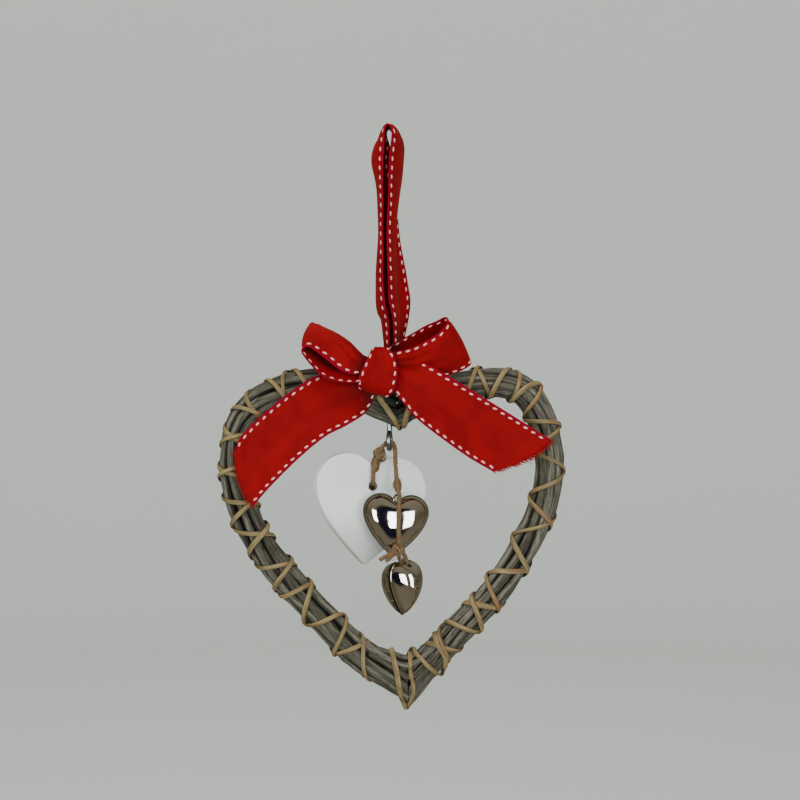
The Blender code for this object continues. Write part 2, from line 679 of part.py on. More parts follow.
def puffed_heart(width, height, depth):
    """A heart blown up to both sides from its rim."""
    outline = heart_outline(width, height, BELL_LOBE, BELL_SPREAD, BELL_FULLNESS, 13)
    belly_z = -BELL_BELLY * height
    levels = [(-1, shrink) for shrink in reversed(BELL_SHRINKS)]
    levels += [(1, shrink) for shrink in BELL_SHRINKS[1:]]
    rings = []
    for side, shrink in levels:
        swell = math.sqrt(1.0 - (1.0 - shrink) ** BELL_ROUNDNESS)
        y = side * depth / 2 * swell
        keep = 1.0 - shrink
        rings.append([Vector((x * keep, y, belly_z + (z - belly_z) * keep)) for x, z in outline])
    poles = [Vector((0.0, side * depth / 2, belly_z)) for side in (-1, 1)]
    return loft(rings, poles=poles)


def build_bell(name, width, height, depth, top, turn, roll, loop_turn, material):
    """A puffed heart bell with a wire loop soldered in its notch."""
    bell = add_object(name, puffed_heart(width, height, depth), material)
    bell.location = top - UP * BELL_LOBE * width
    bell.rotation_euler = (0.0, roll, turn)
    inner = TWINE_DIAMETER + LOOP_ROOM
    loop = add_object(name + "_loop_to_join", ring_mesh(inner, BELL_WIRE, 12), material)
    notch = math.sqrt(BELL_LOBE ** 2 - BELL_SPREAD ** 2) * width
    loop.parent = bell
    loop.location = (0.0, 0.0, notch + inner / 2 + 0.2 * BELL_WIRE)
    loop.rotation_euler = (0.0, 0.0, loop_turn)
    join_with_boolean(bell, [loop])
    return bell


def build_bells(eye, material):
    """The large bell in front of the wooden heart, and the small one under it, turned aside."""
    wood_front = (LARGE_BELL_SIDE - WOOD_SIDE) * math.tan(WOOD_TURN)
    wood_front = wood_front - WOOD_THICKNESS / 2 / math.cos(WOOD_TURN)
    middle = wood_front - WOOD_TO_BELL - LARGE_BELL_DEPTH / 2
    top = eye + Vector((LARGE_BELL_SIDE, middle, -LARGE_BELL_DROP))
    build_bell("large_bell", LARGE_BELL_WIDTH, LARGE_BELL_HEIGHT, LARGE_BELL_DEPTH, top,
               math.radians(4.0), math.radians(4.0), math.radians(50.0), material)
    drop = LARGE_BELL_DROP + LARGE_BELL_HEIGHT + BELL_TO_BELL
    top = eye + Vector((SMALL_BELL_SIDE, middle, -drop))
    build_bell("small_bell", SMALL_BELL_WIDTH, SMALL_BELL_HEIGHT, SMALL_BELL_DEPTH, top,
               SMALL_BELL_TURN, 0.0, 0.0, material)


# Ways of the two twines, in millimetres
HEART_TWINE_WAY = [(2.0, -1.2, -136.6), (0.4, -1.2, -135.9), (-2.0, -1.8, -137.0), (-4.2, -3.4, -141.0),
                   (-5.6, -4.5, -145.0), (-6.2, -4.7, -149.0), (-6.3, -4.6, -152.4), (-6.4, -4.2, -154.2),
                   (-6.8, -2.6, -154.8), (-7.6, -0.2, -154.6), (-8.4, 2.0, -154.5), (-8.6, 4.0, -153.8),
                   (-8.2, 5.0, -151.6), (-7.5, 5.4, -148.4), (-6.5, 5.6, -145.0), (-5.2, 4.8, -141.6),
                   (-3.6, 2.4, -139.4)]
BELL_TWINE_WAY = [(-1.4, 1.2, -136.2), (0.6, 1.2, -135.3), (2.8, 0.8, -137.4), (3.2, -3.4, -144.0),
                  (3.6, -6.6, -150.0), (4.2, -7.6, -154.6), (4.9, -9.8, -157.4), (4.9, -13.6, -160.4),
                  (4.6, -16.9, -166.0), (4.6, -17.2, -172.0), (4.8, -16.2, -176.6), (5.8, -13.8, -180.6),
                  (7.4, -11.2, -183.8), (7.9, -9.3, -186.2), (6.0, -8.1, -187.0), (4.4, -7.2, -187.0)]


def build_twine(name, way, material):
    """A plain tube along the twine's way."""
    dense = spline_dense([Vector(row) * MM for row in way], 16)
    rough_total = even_points(dense, 2)[1]
    count = int(rough_total / (1.3 * TWINE_DIAMETER)) + 1
    points = even_points(dense, count)[0]
    curve = bpy.data.curves.new(name, "CURVE")
    curve.dimensions = "3D"
    curve.bevel_depth = TWINE_DIAMETER / 2
    curve.bevel_resolution = 2
    curve.use_fill_caps = True
    line = curve.splines.new("POLY")
    line.points.add(len(points) - 1)
    for slot, point in zip(line.points, points):
        slot.co = (*point, 1.0)
    obj = bpy.data.objects.new(name, curve)
    obj.data.materials.append(material)
    bpy.context.scene.collection.objects.link(obj)
    return obj


def main():
    clear_objects()
    willow = make_material("grey_willow", (0.24, 0.21, 0.17), 0.8)
    cane = make_material("split_cane", (0.44, 0.32, 0.19), 0.7)
    ribbon = make_material("red_ribbon", (0.32, 0.004, 0.005), 0.75)
    wire = make_material("wire", (0.45, 0.46, 0.48), 0.3, 1.0)
    jute = make_material("jute_twine", (0.29, 0.19, 0.10), 0.9)
    white_paint = make_material("white_paint", (0.70, 0.72, 0.69), 0.6)
    silver = make_material("silver_plate", (0.62, 0.60, 0.56), 0.08, 1.0)

    left = Half("left", LEFT_COURSE, LEFT_ROD_DIAMETER, LEFT_CANE_PITCH, 1)
    right = Half("right", RIGHT_COURSE, RIGHT_ROD_DIAMETER, RIGHT_CANE_PITCH, -1)
    shank_hole = build_screw_eye(left, wire)
    middle_rods = (RODS_IN_RING // 2, RODS_IN_RING // 2 + 1)
    for half in (left, right):
        for number in range(1, RODS_IN_RING + 1):
            rod = build_rod(half, number, willow)
            if half is left and number in middle_rods:
                cut_with(rod, shank_hole)
        build_inner_rod(half, willow)
        build_cane(half, "a", 1, 0.0, cane)
        build_cane(half, "b", -1, SECOND_CANE_START, cane)
    build_tip_cane(left, cane)
    build_hanging_ribbon(left, ribbon)
    build_bow(left, ribbon)
    build_wooden_heart(eye_centre(left), white_paint)
    build_bells(eye_centre(left), silver)
    build_twine("heart_twine", HEART_TWINE_WAY, jute)
    build_twine("bell_twine", BELL_TWINE_WAY, jute)


main()
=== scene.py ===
# Wicker heart ornament: its willow, cane, ribbon, twine, wooden heart and bells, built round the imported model.
# Lengths are in millimetres until a mesh is made. The front faces -Y.
import json
import math
import random

import bmesh
import bpy
import numpy as np
from mathutils import Matrix, Vector, noise
from mathutils.bvhtree import BVHTree
from mathutils.kdtree import KDTree

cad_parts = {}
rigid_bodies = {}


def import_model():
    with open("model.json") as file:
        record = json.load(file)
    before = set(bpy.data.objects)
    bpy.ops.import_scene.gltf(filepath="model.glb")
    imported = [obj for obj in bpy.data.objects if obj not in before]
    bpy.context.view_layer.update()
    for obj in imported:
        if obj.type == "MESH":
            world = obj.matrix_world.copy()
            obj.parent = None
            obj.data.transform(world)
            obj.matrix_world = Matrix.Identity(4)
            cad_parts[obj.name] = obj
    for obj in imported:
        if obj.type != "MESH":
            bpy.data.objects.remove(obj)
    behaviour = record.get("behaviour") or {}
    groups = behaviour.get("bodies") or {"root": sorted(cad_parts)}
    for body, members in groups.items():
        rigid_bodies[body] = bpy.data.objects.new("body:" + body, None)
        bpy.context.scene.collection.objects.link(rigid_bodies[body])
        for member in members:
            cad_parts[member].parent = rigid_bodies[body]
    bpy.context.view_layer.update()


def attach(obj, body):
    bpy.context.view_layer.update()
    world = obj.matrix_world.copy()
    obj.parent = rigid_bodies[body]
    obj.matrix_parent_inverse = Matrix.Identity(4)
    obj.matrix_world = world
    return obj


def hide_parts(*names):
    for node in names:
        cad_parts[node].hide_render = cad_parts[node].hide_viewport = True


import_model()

mm = 0.001
tau = math.tau
back = np.array([0.0, 1.0, 0.0])
print("frame loaded")

# Camera
cameraSettings = {
    "place": (0.0051, -0.665, -0.1175),
    "lens": 70.0,
}


def addCamera():
    data = bpy.data.cameras.new("camera")
    data.lens = cameraSettings["lens"]
    data.sensor_width = 36.0
    camera = bpy.data.objects.new("camera", data)
    camera.location = cameraSettings["place"]
    camera.rotation_euler = (math.radians(90.0), 0.0, 0.0)
    bpy.context.scene.collection.objects.link(camera)
    bpy.context.scene.camera = camera


addCamera()


# Lines and meshes
def smoothLine(points, perSpan=12):  # a smooth curve through rows of any width
    p = np.asarray(points, float)
    p = np.vstack([2 * p[0] - p[1], p, 2 * p[-1] - p[-2]])
    t = (np.arange(perSpan) / perSpan)[:, None]
    parts = []
    for i in range(1, len(p) - 2):
        a, b, c, d = p[i - 1], p[i], p[i + 1], p[i + 2]
        parts.append(0.5 * (2 * b + (c - a) * t + (2 * a - 5 * b + 4 * c - d) * t ** 2
                            + (3 * b - a - 3 * c + d) * t ** 3))
    parts.append(p[-2:-1])
    return np.vstack(parts)


def wayAlong(line):
    steps = np.linalg.norm(np.diff(line[:, :3], axis=0), axis=1)
    return np.concatenate([[0.0], np.cumsum(steps)])


def readAt(want, way, rows):  # every column of the rows, read off at other ways
    return np.stack([np.interp(want, way, column) for column in rows.T], axis=-1)


def evenLine(line, step):  # points at even distances, about one step apart
    way = wayAlong(line)
    return readAt(np.linspace(0.0, way[-1], max(2, int(round(way[-1] / step)) + 1)), way, line)


def softened(rows, weights):  # every column averaged with its neighbours along the line
    reach = len(weights) // 2
    padded = [np.pad(column, reach, "edge") for column in rows.T]
    return np.stack([np.convolve(column, weights, "valid") for column in padded], axis=1)


def unit(vectors):
    return vectors / np.maximum(np.linalg.norm(vectors, axis=-1, keepdims=True), 1e-9)


def runOf(line):
    return unit(np.gradient(line, axis=0))


def ease(value):
    value = np.clip(value, 0.0, 1.0)
    return value * value * (3.0 - 2.0 * value)


def waver(way, seed, length):  # a slow smooth noise along a line, from -1 to 1
    places = [Vector((w / length, seed * 7.31, seed * 1.77)) for w in np.atleast_1d(way)]
    return np.array([noise.noise(place) for place in places]) * 1.6


def frameAlong(line, start=(0.0, -1.0, 0.0)):  # two directions across a line that turn as little as they can
    run = runOf(line)
    side = np.zeros_like(line)
    last = np.asarray(start, float)
    for i, t in enumerate(run):
        last = last - t * np.dot(last, t)
        last = last / max(np.linalg.norm(last), 1e-9)
        side[i] = last
    return side, np.cross(run, side)


def spokesRound(side, up, sides):  # directions all round a line, and their angles
    turn = np.arange(sides) * tau / sides
    return side[:, None, :] * np.cos(turn)[None, :, None] + up[:, None, :] * np.sin(turn)[None, :, None], turn


def flowOf(across, rise, along):  # how a material's fibres run: two numbers across a strand, one along it
    return np.stack(np.broadcast_arrays(across, rise, along), axis=-1)


def tubeGrid(line, radius, sides=10, start=(0.0, -1.0, 0.0), flowSeed=0.0):
    spokes, turn = spokesRound(*frameAlong(line, start), sides)
    radius = np.broadcast_to(np.asarray(radius, float), (len(line),))[:, None]
    flow = flowOf(np.cos(turn) * radius + flowSeed, np.sin(turn) * radius,
                  wayAlong(line)[:, None] + flowSeed * 13.0)
    return line[:, None, :] + spokes * radius[..., None], flow


def gridFaces(rows, columns, first=0, caps=True):  # each row of points is closed into a ring
    faces = []
    for i in range(rows - 1):
        for k in range(columns):
            q = (k + 1) % columns
            low, high = first + i * columns, first + (i + 1) * columns
            faces.append((low + k, low + q, high + q, high + k))
    if caps:
        faces.append(tuple(first + k for k in reversed(range(columns))))
        faces.append(tuple(first + (rows - 1) * columns + k for k in range(columns)))
    return faces


class Bundle:  # several shapes gathered into one piece
    def __init__(self):
        self.points, self.faces, self.flow, self.outer, self.count = [], [], [], [], 0

    # outer is 1 where no painted shade is laid, and lower where it is
    def add(self, grid, flow=None, outer=None):
        rows, columns = grid.shape[:2]
        self.faces += gridFaces(rows, columns, self.count)
        self.points.append(grid.reshape(-1, 3))
        self.flow.append((flow if flow is not None else np.zeros_like(grid)).reshape(-1, 3))
        self.outer.append((outer if outer is not None else np.ones((rows, columns))).ravel())
        self.count += rows * columns

    def make(self, name, material, slot=None, node=None):
        mesh = bpy.data.meshes.new(name)
        mesh.from_pydata((np.vstack(self.points) * mm).tolist(), [], self.faces)
        mesh.validate()
        for key, kind, field, values in (("flow", "FLOAT_VECTOR", "vector", np.vstack(self.flow)),
                                         ("outer", "FLOAT", "value", np.concatenate(self.outer))):
            layer = mesh.attributes.new(key, kind, "POINT")
            layer.data.foreach_set(field, values.astype(np.float32).ravel())
        mesh.shade_smooth()
        mesh.materials.append(material)
        piece = bpy.data.objects.new(name, mesh)
        bpy.context.scene.collection.objects.link(piece)
        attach(piece, "root")
        if node:
            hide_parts(node)
        return piece


# Materials
class Finish:  # a Principled material and short ways to add to it
    def __init__(self, name, **sockets):
        self.material = bpy.data.materials.new(name)
        self.material.use_nodes = True
        self.tree = self.material.node_tree
        self.shader = self.tree.nodes["Principled BSDF"]
        for key, value in sockets.items():
            self.shader.inputs[key.replace("_", " ")].default_value = value

    def node(self, kind, inputs=None, **settings):
        made = self.tree.nodes.new("ShaderNode" + kind)
        for key, value in settings.items():
            setattr(made, key, value)
        for key, value in (inputs or {}).items():
            if isinstance(value, bpy.types.NodeSocket):
                self.tree.links.new(value, made.inputs[key])
            else:
                made.inputs[key].default_value = value
        return made

    def flow(self, scale=(1.0, 1.0, 1.0), shift=(0.0, 0.0, 0.0)):
        source = self.node("Attribute", attribute_name="flow").outputs["Vector"]
        return self.node("Mapping", {"Vector": source, "Scale": scale, "Location": shift}).outputs["Vector"]

    def axes(self):
        return self.node("SeparateXYZ", {"Vector": self.flow()}).outputs

    def outer(self):
        return self.node("Attribute", attribute_name="outer").outputs["Fac"]

    def place(self, scale=(1000.0, 1000.0, 1000.0), shift=(0.0, 0.0, 0.0)):
        source = self.node("TexCoord").outputs["Object"]
        return self.node("Mapping", {"Vector": source, "Scale": scale, "Location": shift}).outputs["Vector"]

    def away(self, centre, reach):  # distance from a place, in shares of its reach on each axis
        near = self.place([1000.0 / r for r in reach], [-c / r for c, r in zip(centre, reach)])
        return self.node("VectorMath", {0: near}, operation="LENGTH").outputs["Value"]

    def noise(self, vector, scale, detail, roughness):
        return self.node("TexNoise", {"Vector": vector, "Scale": scale, "Detail": detail,
                                      "Roughness": roughness}).outputs["Fac"]

    def math(self, operation, a, b=0.0):
        return self.node("Math", {0: a, 1: b}, operation=operation).outputs[0]

    def total(self, *parts):  # noises added up, each with its weight
        tone = None
        for value, weight in parts:
            part = self.math("MULTIPLY", value, weight)
            tone = part if tone is None else self.math("ADD", tone, part)
        return tone

    def rise(self, value, low, high, to=(0.0, 1.0)):
        return self.node("MapRange", {"Value": value, "From Min": low, "From Max": high, "To Min": to[0],
                                      "To Max": to[1]}, interpolation_type="SMOOTHSTEP").outputs[0]

    def ramp(self, value, stops):
        made = self.node("ValToRGB", {"Fac": value})
        band = made.color_ramp
        while len(band.elements) < len(stops):
            band.elements.new(0.5)
        for element, (place, colour) in zip(band.elements, stops):
            element.position = place
            element.color = (*colour, 1.0)
        return made.outputs["Color"]

    def mix(self, share, a, b):
        a, b = [v if isinstance(v, bpy.types.NodeSocket) else (*v, 1.0) for v in (a, b)]
        return self.node("Mix", {0: share, 6: a, 7: b}, data_type="RGBA").outputs[2]

    def tint(self, colour, other, value, low, high, most=1.0):  # towards another colour between two values
        return self.mix(self.rise(value, low, high, (0.0, most)), colour, other)

    def bump(self, height, distance, strength, over=None):
        inputs = {"Height": height, "Distance": distance * mm, "Strength": strength}
        if over is not None:
            inputs["Normal"] = over
        return self.node("Bump", inputs).outputs["Normal"]

    def set(self, **links):
        for key, value in links.items():
            self.tree.links.new(value, self.shader.inputs[key.replace("_", " ")])
        return self.material


willowSettings = {
    "dark": (0.027, 0.024, 0.016),
    "middle": (0.068, 0.064, 0.044),
    "light": (0.190, 0.181, 0.137),
    "purple": (0.060, 0.043, 0.040),
    "olive": (0.056, 0.055, 0.028),
    # the dark of the bark's cracks, and the painted shade between the rods
    "crackAndPaintedShade": (0.011, 0.010, 0.007),
    "roughness": (0.86, 0.62),  # from the dark of the grain to its light
    "dipPaintedShade": ((3.2, 0.0, -119.6), (5.2, 900.0, 3.9)),  # painted shade in the dark place between the rods under the knot
}


def willowFinish():
    s = willowSettings
    f = Finish("greyWillow", Specular_IOR_Level=0.25)
    grain = f.noise(f.flow((1.0, 1.0, 0.055)), 2.6, 6.0, 0.62)
    streak = f.noise(f.flow((1.0, 1.0, 0.075), (4.0, 2.0, 7.0)), 0.9, 5.0, 0.62)
    patch = f.noise(f.flow((0.25, 0.25, 0.09), (9.0, 3.0, 1.0)), 1.0, 3.0, 0.5)
    own = f.noise(f.flow((0.13, 0.0, 0.006), (2.0, 6.0, 3.0)), 1.0, 1.0, 0.4)  # each rod's own shade
    tone = f.total((streak, 0.45), (grain, 0.27), (own, 0.28))
    colour = f.ramp(tone, [(0.40, s["dark"]), (0.485, s["middle"]), (0.58, s["light"])])
    colour = f.mix(0.26, colour, f.mix(f.rise(patch, 0.42, 0.60), s["olive"], s["purple"]))
    spots = f.node("TexVoronoi", {"Vector": f.flow((1.0, 1.0, 0.45)), "Scale": 0.75}).outputs["Distance"]
    colour = f.tint(colour, s["light"], spots, 0.16, 0.05, 0.5)
    cracks = f.noise(f.flow((1.0, 1.0, 0.05), (7.0, 5.0, 2.0)), 1.7, 3.0, 0.5)
    crack = f.rise(f.math("ABSOLUTE", f.math("SUBTRACT", cracks, 0.5)), 0.030, 0.006)
    colour = f.mix(f.math("MULTIPLY", crack, 0.75), colour, s["crackAndPaintedShade"])
    colour = f.tint(colour, s["crackAndPaintedShade"], f.outer(), 0.55, -0.05, 0.75)  # painted shade on faces that look into the bundle; 1 looks out of it
    # painted shade between the rods under the knot
    colour = f.tint(colour, s["crackAndPaintedShade"], f.away(*s["dipPaintedShade"]), 1.9, 0.9, 0.92)
    normal = f.bump(streak, 0.35, 0.8, f.bump(grain, 0.25, 0.7))
    normal = f.bump(f.math("SUBTRACT", 1.0, crack), 0.16, 0.8, normal)
    return f.set(Base_Color=colour, Normal=normal, Roughness=f.rise(grain, 0.2, 0.8, s["roughness"]))


caneFinishSettings = {
    "shade": (0.060, 0.038, 0.016),
    "tan": (0.160, 0.114, 0.047),
    "yellow": (0.275, 0.205, 0.088),
    "orange": (0.175, 0.083, 0.034),
    "roughness": (0.7, 0.45),
}


def caneFinish():
    s = caneFinishSettings
    f = Finish("splitCane", Specular_IOR_Level=0.35)
    fibre = f.noise(f.flow((1.0, 1.0, 0.03)), 4.5, 5.0, 0.6)
    broad = f.noise(f.flow((1.0, 1.0, 0.09), (2.0, 5.0, 1.0)), 0.9, 4.0, 0.6)
    patch = f.noise(f.flow((0.12, 0.12, 0.055), (3.0, 8.0, 2.0)), 1.0, 3.0, 0.55)
    tone = f.total((fibre, 0.45), (broad, 0.55))
    colour = f.ramp(tone, [(0.36, s["shade"]), (0.48, s["tan"]), (0.63, s["yellow"])])
    colour = f.tint(colour, s["orange"], patch, 0.54, 0.66, 0.75)
    colour = f.tint(colour, s["shade"], patch, 0.42, 0.30, 0.45)
    colour = f.tint(colour, s["shade"], f.axes()["Y"], 0.36, 0.06, 0.8)  # painted shade, darker towards the strip's edges
    normal = f.bump(broad, 0.16, 0.6, f.bump(fibre, 0.14, 0.7))
    return f.set(Base_Color=colour, Normal=normal, Roughness=f.rise(fibre, 0.2, 0.8, s["roughness"]))


ribbonFinishSettings = {
    "red": (0.226, 0.001, 0.003),
    "deep": (0.158, 0.001, 0.003),
    "selvedge": (0.185, 0.0, 0.008),
    "selvedgeFrom": (10.6, 11.5),  # distances from the ribbon's middle between which its colour turns
    "shadow": (0.034, 0.0, 0.001),
    "sheen": (1.0, 0.10, 0.08, 1.0),
    "weavePitch": 0.42,
}


def ribbonFinish():
    s = ribbonFinishSettings
    f = Finish("redRibbon", Roughness=0.82, Specular_IOR_Level=0.12, Sheen_Weight=0.06, Sheen_Roughness=0.4,
               Sheen_Tint=s["sheen"])
    axes = f.axes()
    turns = tau / s["weavePitch"]
    across = f.math("SINE", f.math("MULTIPLY", axes["X"], turns))
    along = f.math("SINE", f.math("MULTIPLY", axes["Z"], turns * 0.8))
    weave = f.math("MULTIPLY", across, along)
    cloud = f.noise(f.flow((0.10, 0.10, 0.08)), 1.0, 3.0, 0.5)
    colour = f.mix(f.rise(cloud, 0.3, 0.7), s["deep"], s["red"])
    colour = f.mix(f.rise(weave, -1.0, 1.0, (0.25, 0.0)), colour, s["deep"])
    colour = f.tint(colour, s["selvedge"], f.math("ABSOLUTE", axes["X"]), *s["selvedgeFrom"])
    colour = f.tint(colour, s["shadow"], f.outer(), 1.0, 0.0)  # painted shadow where the ribbon goes into the knot
    normal = f.bump(f.noise(f.flow(), 3.0, 3.0, 0.6), 0.06, 0.4, f.bump(weave, 0.05, 0.6))
    return f.set(Base_Color=colour, Normal=normal)


threadColours = {
    "stitchThread": ((0.58, 0.25, 0.22), (0.84, 0.46, 0.39)),
    "redThread": ((0.16, 0.0, 0.002), (0.30, 0.0, 0.004)),
}


def threadFinish(name):
    f = Finish(name, Roughness=0.8, Specular_IOR_Level=0.25)
    fibre = f.noise(f.flow((1.0, 1.0, 0.2)), 6.0, 3.0, 0.6)
    return f.set(Base_Color=f.mix(fibre, *threadColours[name]), Normal=f.bump(fibre, 0.06, 0.6))


juteSettings = {
    "shade": (0.045, 0.027, 0.012),
    "tan": (0.125, 0.082, 0.040),
    "pale": (0.30, 0.220, 0.125),
    "orange": (0.19, 0.085, 0.034),
    "paintedShadeInHole": (0.010, 0.006, 0.003),  # painted shade where it goes into the wooden heart's hole
    "hole": ((-7.0, -3.4, -155.0), (1.5, 3.0, 1.5)),
}


def juteFinish():
    s = juteSettings
    f = Finish("juteTwine", Roughness=0.9, Specular_IOR_Level=0.15)
    fibre = f.noise(f.flow((1.0, 1.0, 0.12)), 6.0, 5.0, 0.65)
    patch = f.noise(f.flow((0.2, 0.2, 0.15), (5.0, 1.0, 2.0)), 1.0, 2.0, 0.5)
    colour = f.ramp(fibre, [(0.30, s["shade"]), (0.5, s["tan"]), (0.70, s["pale"])])
    colour = f.tint(colour, s["orange"], patch, 0.48, 0.66, 0.55)
    # painted shade where the twine goes into the hole
    colour = f.tint(colour, s["paintedShadeInHole"], f.away(*s["hole"]), 1.5, 0.8, 0.9)
    return f.set(Base_Color=colour, Normal=f.bump(fibre, 0.12, 0.8))


paintSettings = {
    "white": ((0.64, 0.675, 0.655), (0.76, 0.785, 0.755)),
    "worn": (0.52, 0.55, 0.53),
    "low": (0.33, 0.35, 0.31),  # painted shade towards the tip, which hangs in less light
    # painted shade inside the hole
    "hole": (0.04, 0.03, 0.02),
    "roughness": (0.62, 0.48),
}


def paintFinish():  # the flow here is the place in the heart itself, from the middle between its lobes
    s = paintSettings
    f = Finish("whitePaint", Specular_IOR_Level=0.35)
    brush = f.noise(f.flow((0.5, 1.0, 0.06)), 2.2, 4.0, 0.55)
    cloud = f.noise(f.flow((0.06, 0.06, 0.05)), 1.0, 3.0, 0.5)
    colour = f.mix(f.rise(cloud, 0.3, 0.75), *s["white"])
    colour = f.tint(colour, s["worn"], brush, 0.60, 0.80, 0.25)
    # painted shade towards the tip
    colour = f.tint(colour, s["low"], f.axes()["Z"], -6.0, -30.0, 0.80)
    # painted shade inside the hole, on its walls
    fromHole = f.flow((1.0, 0.0, 1.0), (0.0, 0.0, -0.5))
    hole = f.node("VectorMath", {0: fromHole}, operation="LENGTH").outputs["Value"]
    colour = f.tint(colour, s["hole"], hole, 0.95, 0.60, 0.9)
    normal = f.bump(f.noise(f.flow(), 1.3, 3.0, 0.6), 0.10, 0.25, f.bump(brush, 0.08, 0.5))
    return f.set(Base_Color=colour, Normal=normal, Roughness=f.rise(cloud, 0.3, 0.7, s["roughness"]))


silverSettings = {
    "bright": ((0.66, 0.63, 0.56), (0.76, 0.73, 0.67)),
    "towardsSeam": (0.26, 0.24, 0.18),
    "seam": (0.035, 0.032, 0.022),
    "roughness": (0.05, 0.12),
}


def silverFinish():
    s = silverSettings
    f = Finish("silverPlate", Metallic=1.0)
    colour = f.mix(f.noise(f.place(), 0.12, 3.0, 0.5), *s["bright"])
    away = f.math("ABSOLUTE", f.axes()["Y"])  # distance from the seam
    colour = f.tint(colour, s["towardsSeam"], away, 3.4, 0.8, 0.62)
    colour = f.tint(colour, s["seam"], away, 0.70, 0.40)
    fine = f.noise(f.place(), 2.2, 4.0, 0.6)
    normal = f.bump(f.noise(f.place(), 0.22, 2.0, 0.5), 0.30, 0.35)
    return f.set(Base_Color=colour, Normal=normal, Roughness=f.rise(fine, 0.35, 0.75, s["roughness"]))


wireColours = ((0.24, 0.26, 0.30), (0.44, 0.47, 0.52))


def wireFinish():
    f = Finish("eyeWire", Metallic=1.0)
    fine = f.noise(f.place(), 1.5, 4.0, 0.6)
    return f.set(Base_Color=f.mix(fine, *wireColours), Roughness=f.rise(fine, 0.3, 0.7, (0.26, 0.40)),
                 Normal=f.bump(fine, 0.05, 0.4))


willow = willowFinish()
cane = caneFinish()
ribbonRed = ribbonFinish()
stitchThread = threadFinish("stitchThread")
redThread = threadFinish("redThread")
jute = juteFinish()
whitePaint = paintFinish()
silver = silverFinish()
eyeWire = wireFinish()
print("finishes made")

# Twines: each is three strands laid together. A knot is its middle, its reach on each axis and its turns.
twineSettings = {
    "diameter": 2.0,
    "knotDiameter": 1.6,  # pulled tight in the knots
    "endDiameter": 1.8,
    "strands": 3,
    "layLength": 5.2,  # way of one full turn of a strand
    "strandShare": 0.53,  # a strand's diameter as a share of the twine's
    "hairRadius": 0.045,
    "hairs": (150, 2.2, 1.0),  # how many, how long, and how far from the twine's middle they start
    "knotHairs": (70, 2.0, 0.7),
    "endHairs": (24, 2.4, 0.8),
    "heartTwine": {
        "node": "heart_twine",
        "seed": 3,
        "way": [(2, -1.2, -136.6), (0.4, -1.2, -135.9), (-2, -1.8, -137), (-4.2, -3.4, -141),
                (-5.6, -4.5, -145), (-6.2, -4.7, -149), (-6.3, -4.6, -152.4), (-6.4, -4.2, -154.2),
                (-6.8, -2.6, -154.8), (-7.6, -0.2, -154.6), (-8.4, 2, -154.5), (-8.6, 4, -153.8),
                (-8.2, 5, -151.6), (-7.5, 5.4, -148.4), (-6.5, 5.6, -145), (-5.2, 4.8, -141.6),
                (-3.6, 2.4, -139.4)],
        "knots": [((-3.9, -2, -140.6), (2.5, 1.9, 2.5), 4), ((-5.2, -3.2, -145), (1.6, 1.5, 2.4), 3)],
        "ends": [[(-2.6, -2, -139.4), (-1.6, -3, -141.4), (-2.2, -3.2, -143.6)]],
    },
    "bellTwine": {
        "node": "bell_twine",
        "seed": 11,
        "way": [(-1.4, 1.2, -136.2), (0.6, 1.2, -135.3), (2.8, 0.8, -137.4), (3.2, -3.4, -144),
                (3.6, -6.6, -150), (4.2, -7.6, -154.6), (4.9, -9.8, -157.4), (4.9, -13.6, -160.4),
                (4.6, -16.9, -166), (4.6, -17.2, -172), (4.8, -16.2, -176.6), (5.8, -13.8, -180.6),
                (7.4, -11.2, -183.8), (7.9, -9.3, -186.2), (6, -8.1, -187), (4.4, -7.2, -187)],
        "knots": [((4, -6.6, -153.6), (1.4, 1.4, 2.6), 3), ((4.4, -14.6, -180.2), (2.7, 1.7, 2), 4)],
        "ends": [[(3, -14.8, -180.6), (-0.2, -15.4, -182.4), (-3.4, -14.6, -184.4)],
                 [(3.6, -15, -181), (1.4, -15.6, -183), (-0.6, -15, -184.8)],
                 [(4.4, -13.6, -181.2), (4.8, -11.8, -184), (5.6, -9.6, -186)]],
    },
}


def addTwineStrands(bundle, line, seed, diameter):
    s = twineSettings
    strand = diameter * s["strandShare"] / 2
    side, up = frameAlong(line)
    way = wayAlong(line)
    for number in range(s["strands"]):
        turn = way * tau / s["layLength"] + number * tau / s["strands"] + 0.3 * waver(way, seed + number, 6.0)
        off = (diameter / 2 - strand) * (1.0 + 0.12 * waver(way, seed + 5 + number, 3.0))
        middle = line + side * (np.cos(turn) * off)[:, None] + up * (np.sin(turn) * off)[:, None]
        radius = strand * (1.0 + 0.14 * waver(way, seed + 9 + number, 2.5))
        bundle.add(*tubeGrid(middle, radius, 7, flowSeed=seed + number * 3.7))


def addHairs(bundle, line, seed, hairs):
    draw = random.Random(seed)
    count, length, reach = hairs
    way = wayAlong(line)
    side, up = frameAlong(line)
    run = runOf(line)
    for _ in range(count):
        at = draw.uniform(0.02, 0.98) * way[-1]
        i = int(np.searchsorted(way, at))
        turn = draw.uniform(0.0, tau)
        out = side[i] * math.cos(turn) + up[i] * math.sin(turn)
        lean = run[i] * draw.choice((-1.0, 1.0)) * draw.uniform(0.4, 1.6) + out * draw.uniform(0.25, 1.0)
        lean = lean / np.linalg.norm(lean)
        curl = np.array([draw.uniform(-1, 1) for _ in range(3)]) * 0.45
        far = length * draw.uniform(0.35, 1.0)
        start = line[i] + out * reach * 0.8
        hair = smoothLine([start, start + lean * far * 0.5 + curl * far * 0.2,
                           start + lean * far + curl * far * 0.8], 3)
        bundle.add(*tubeGrid(hair, twineSettings["hairRadius"], 3, flowSeed=seed + at))


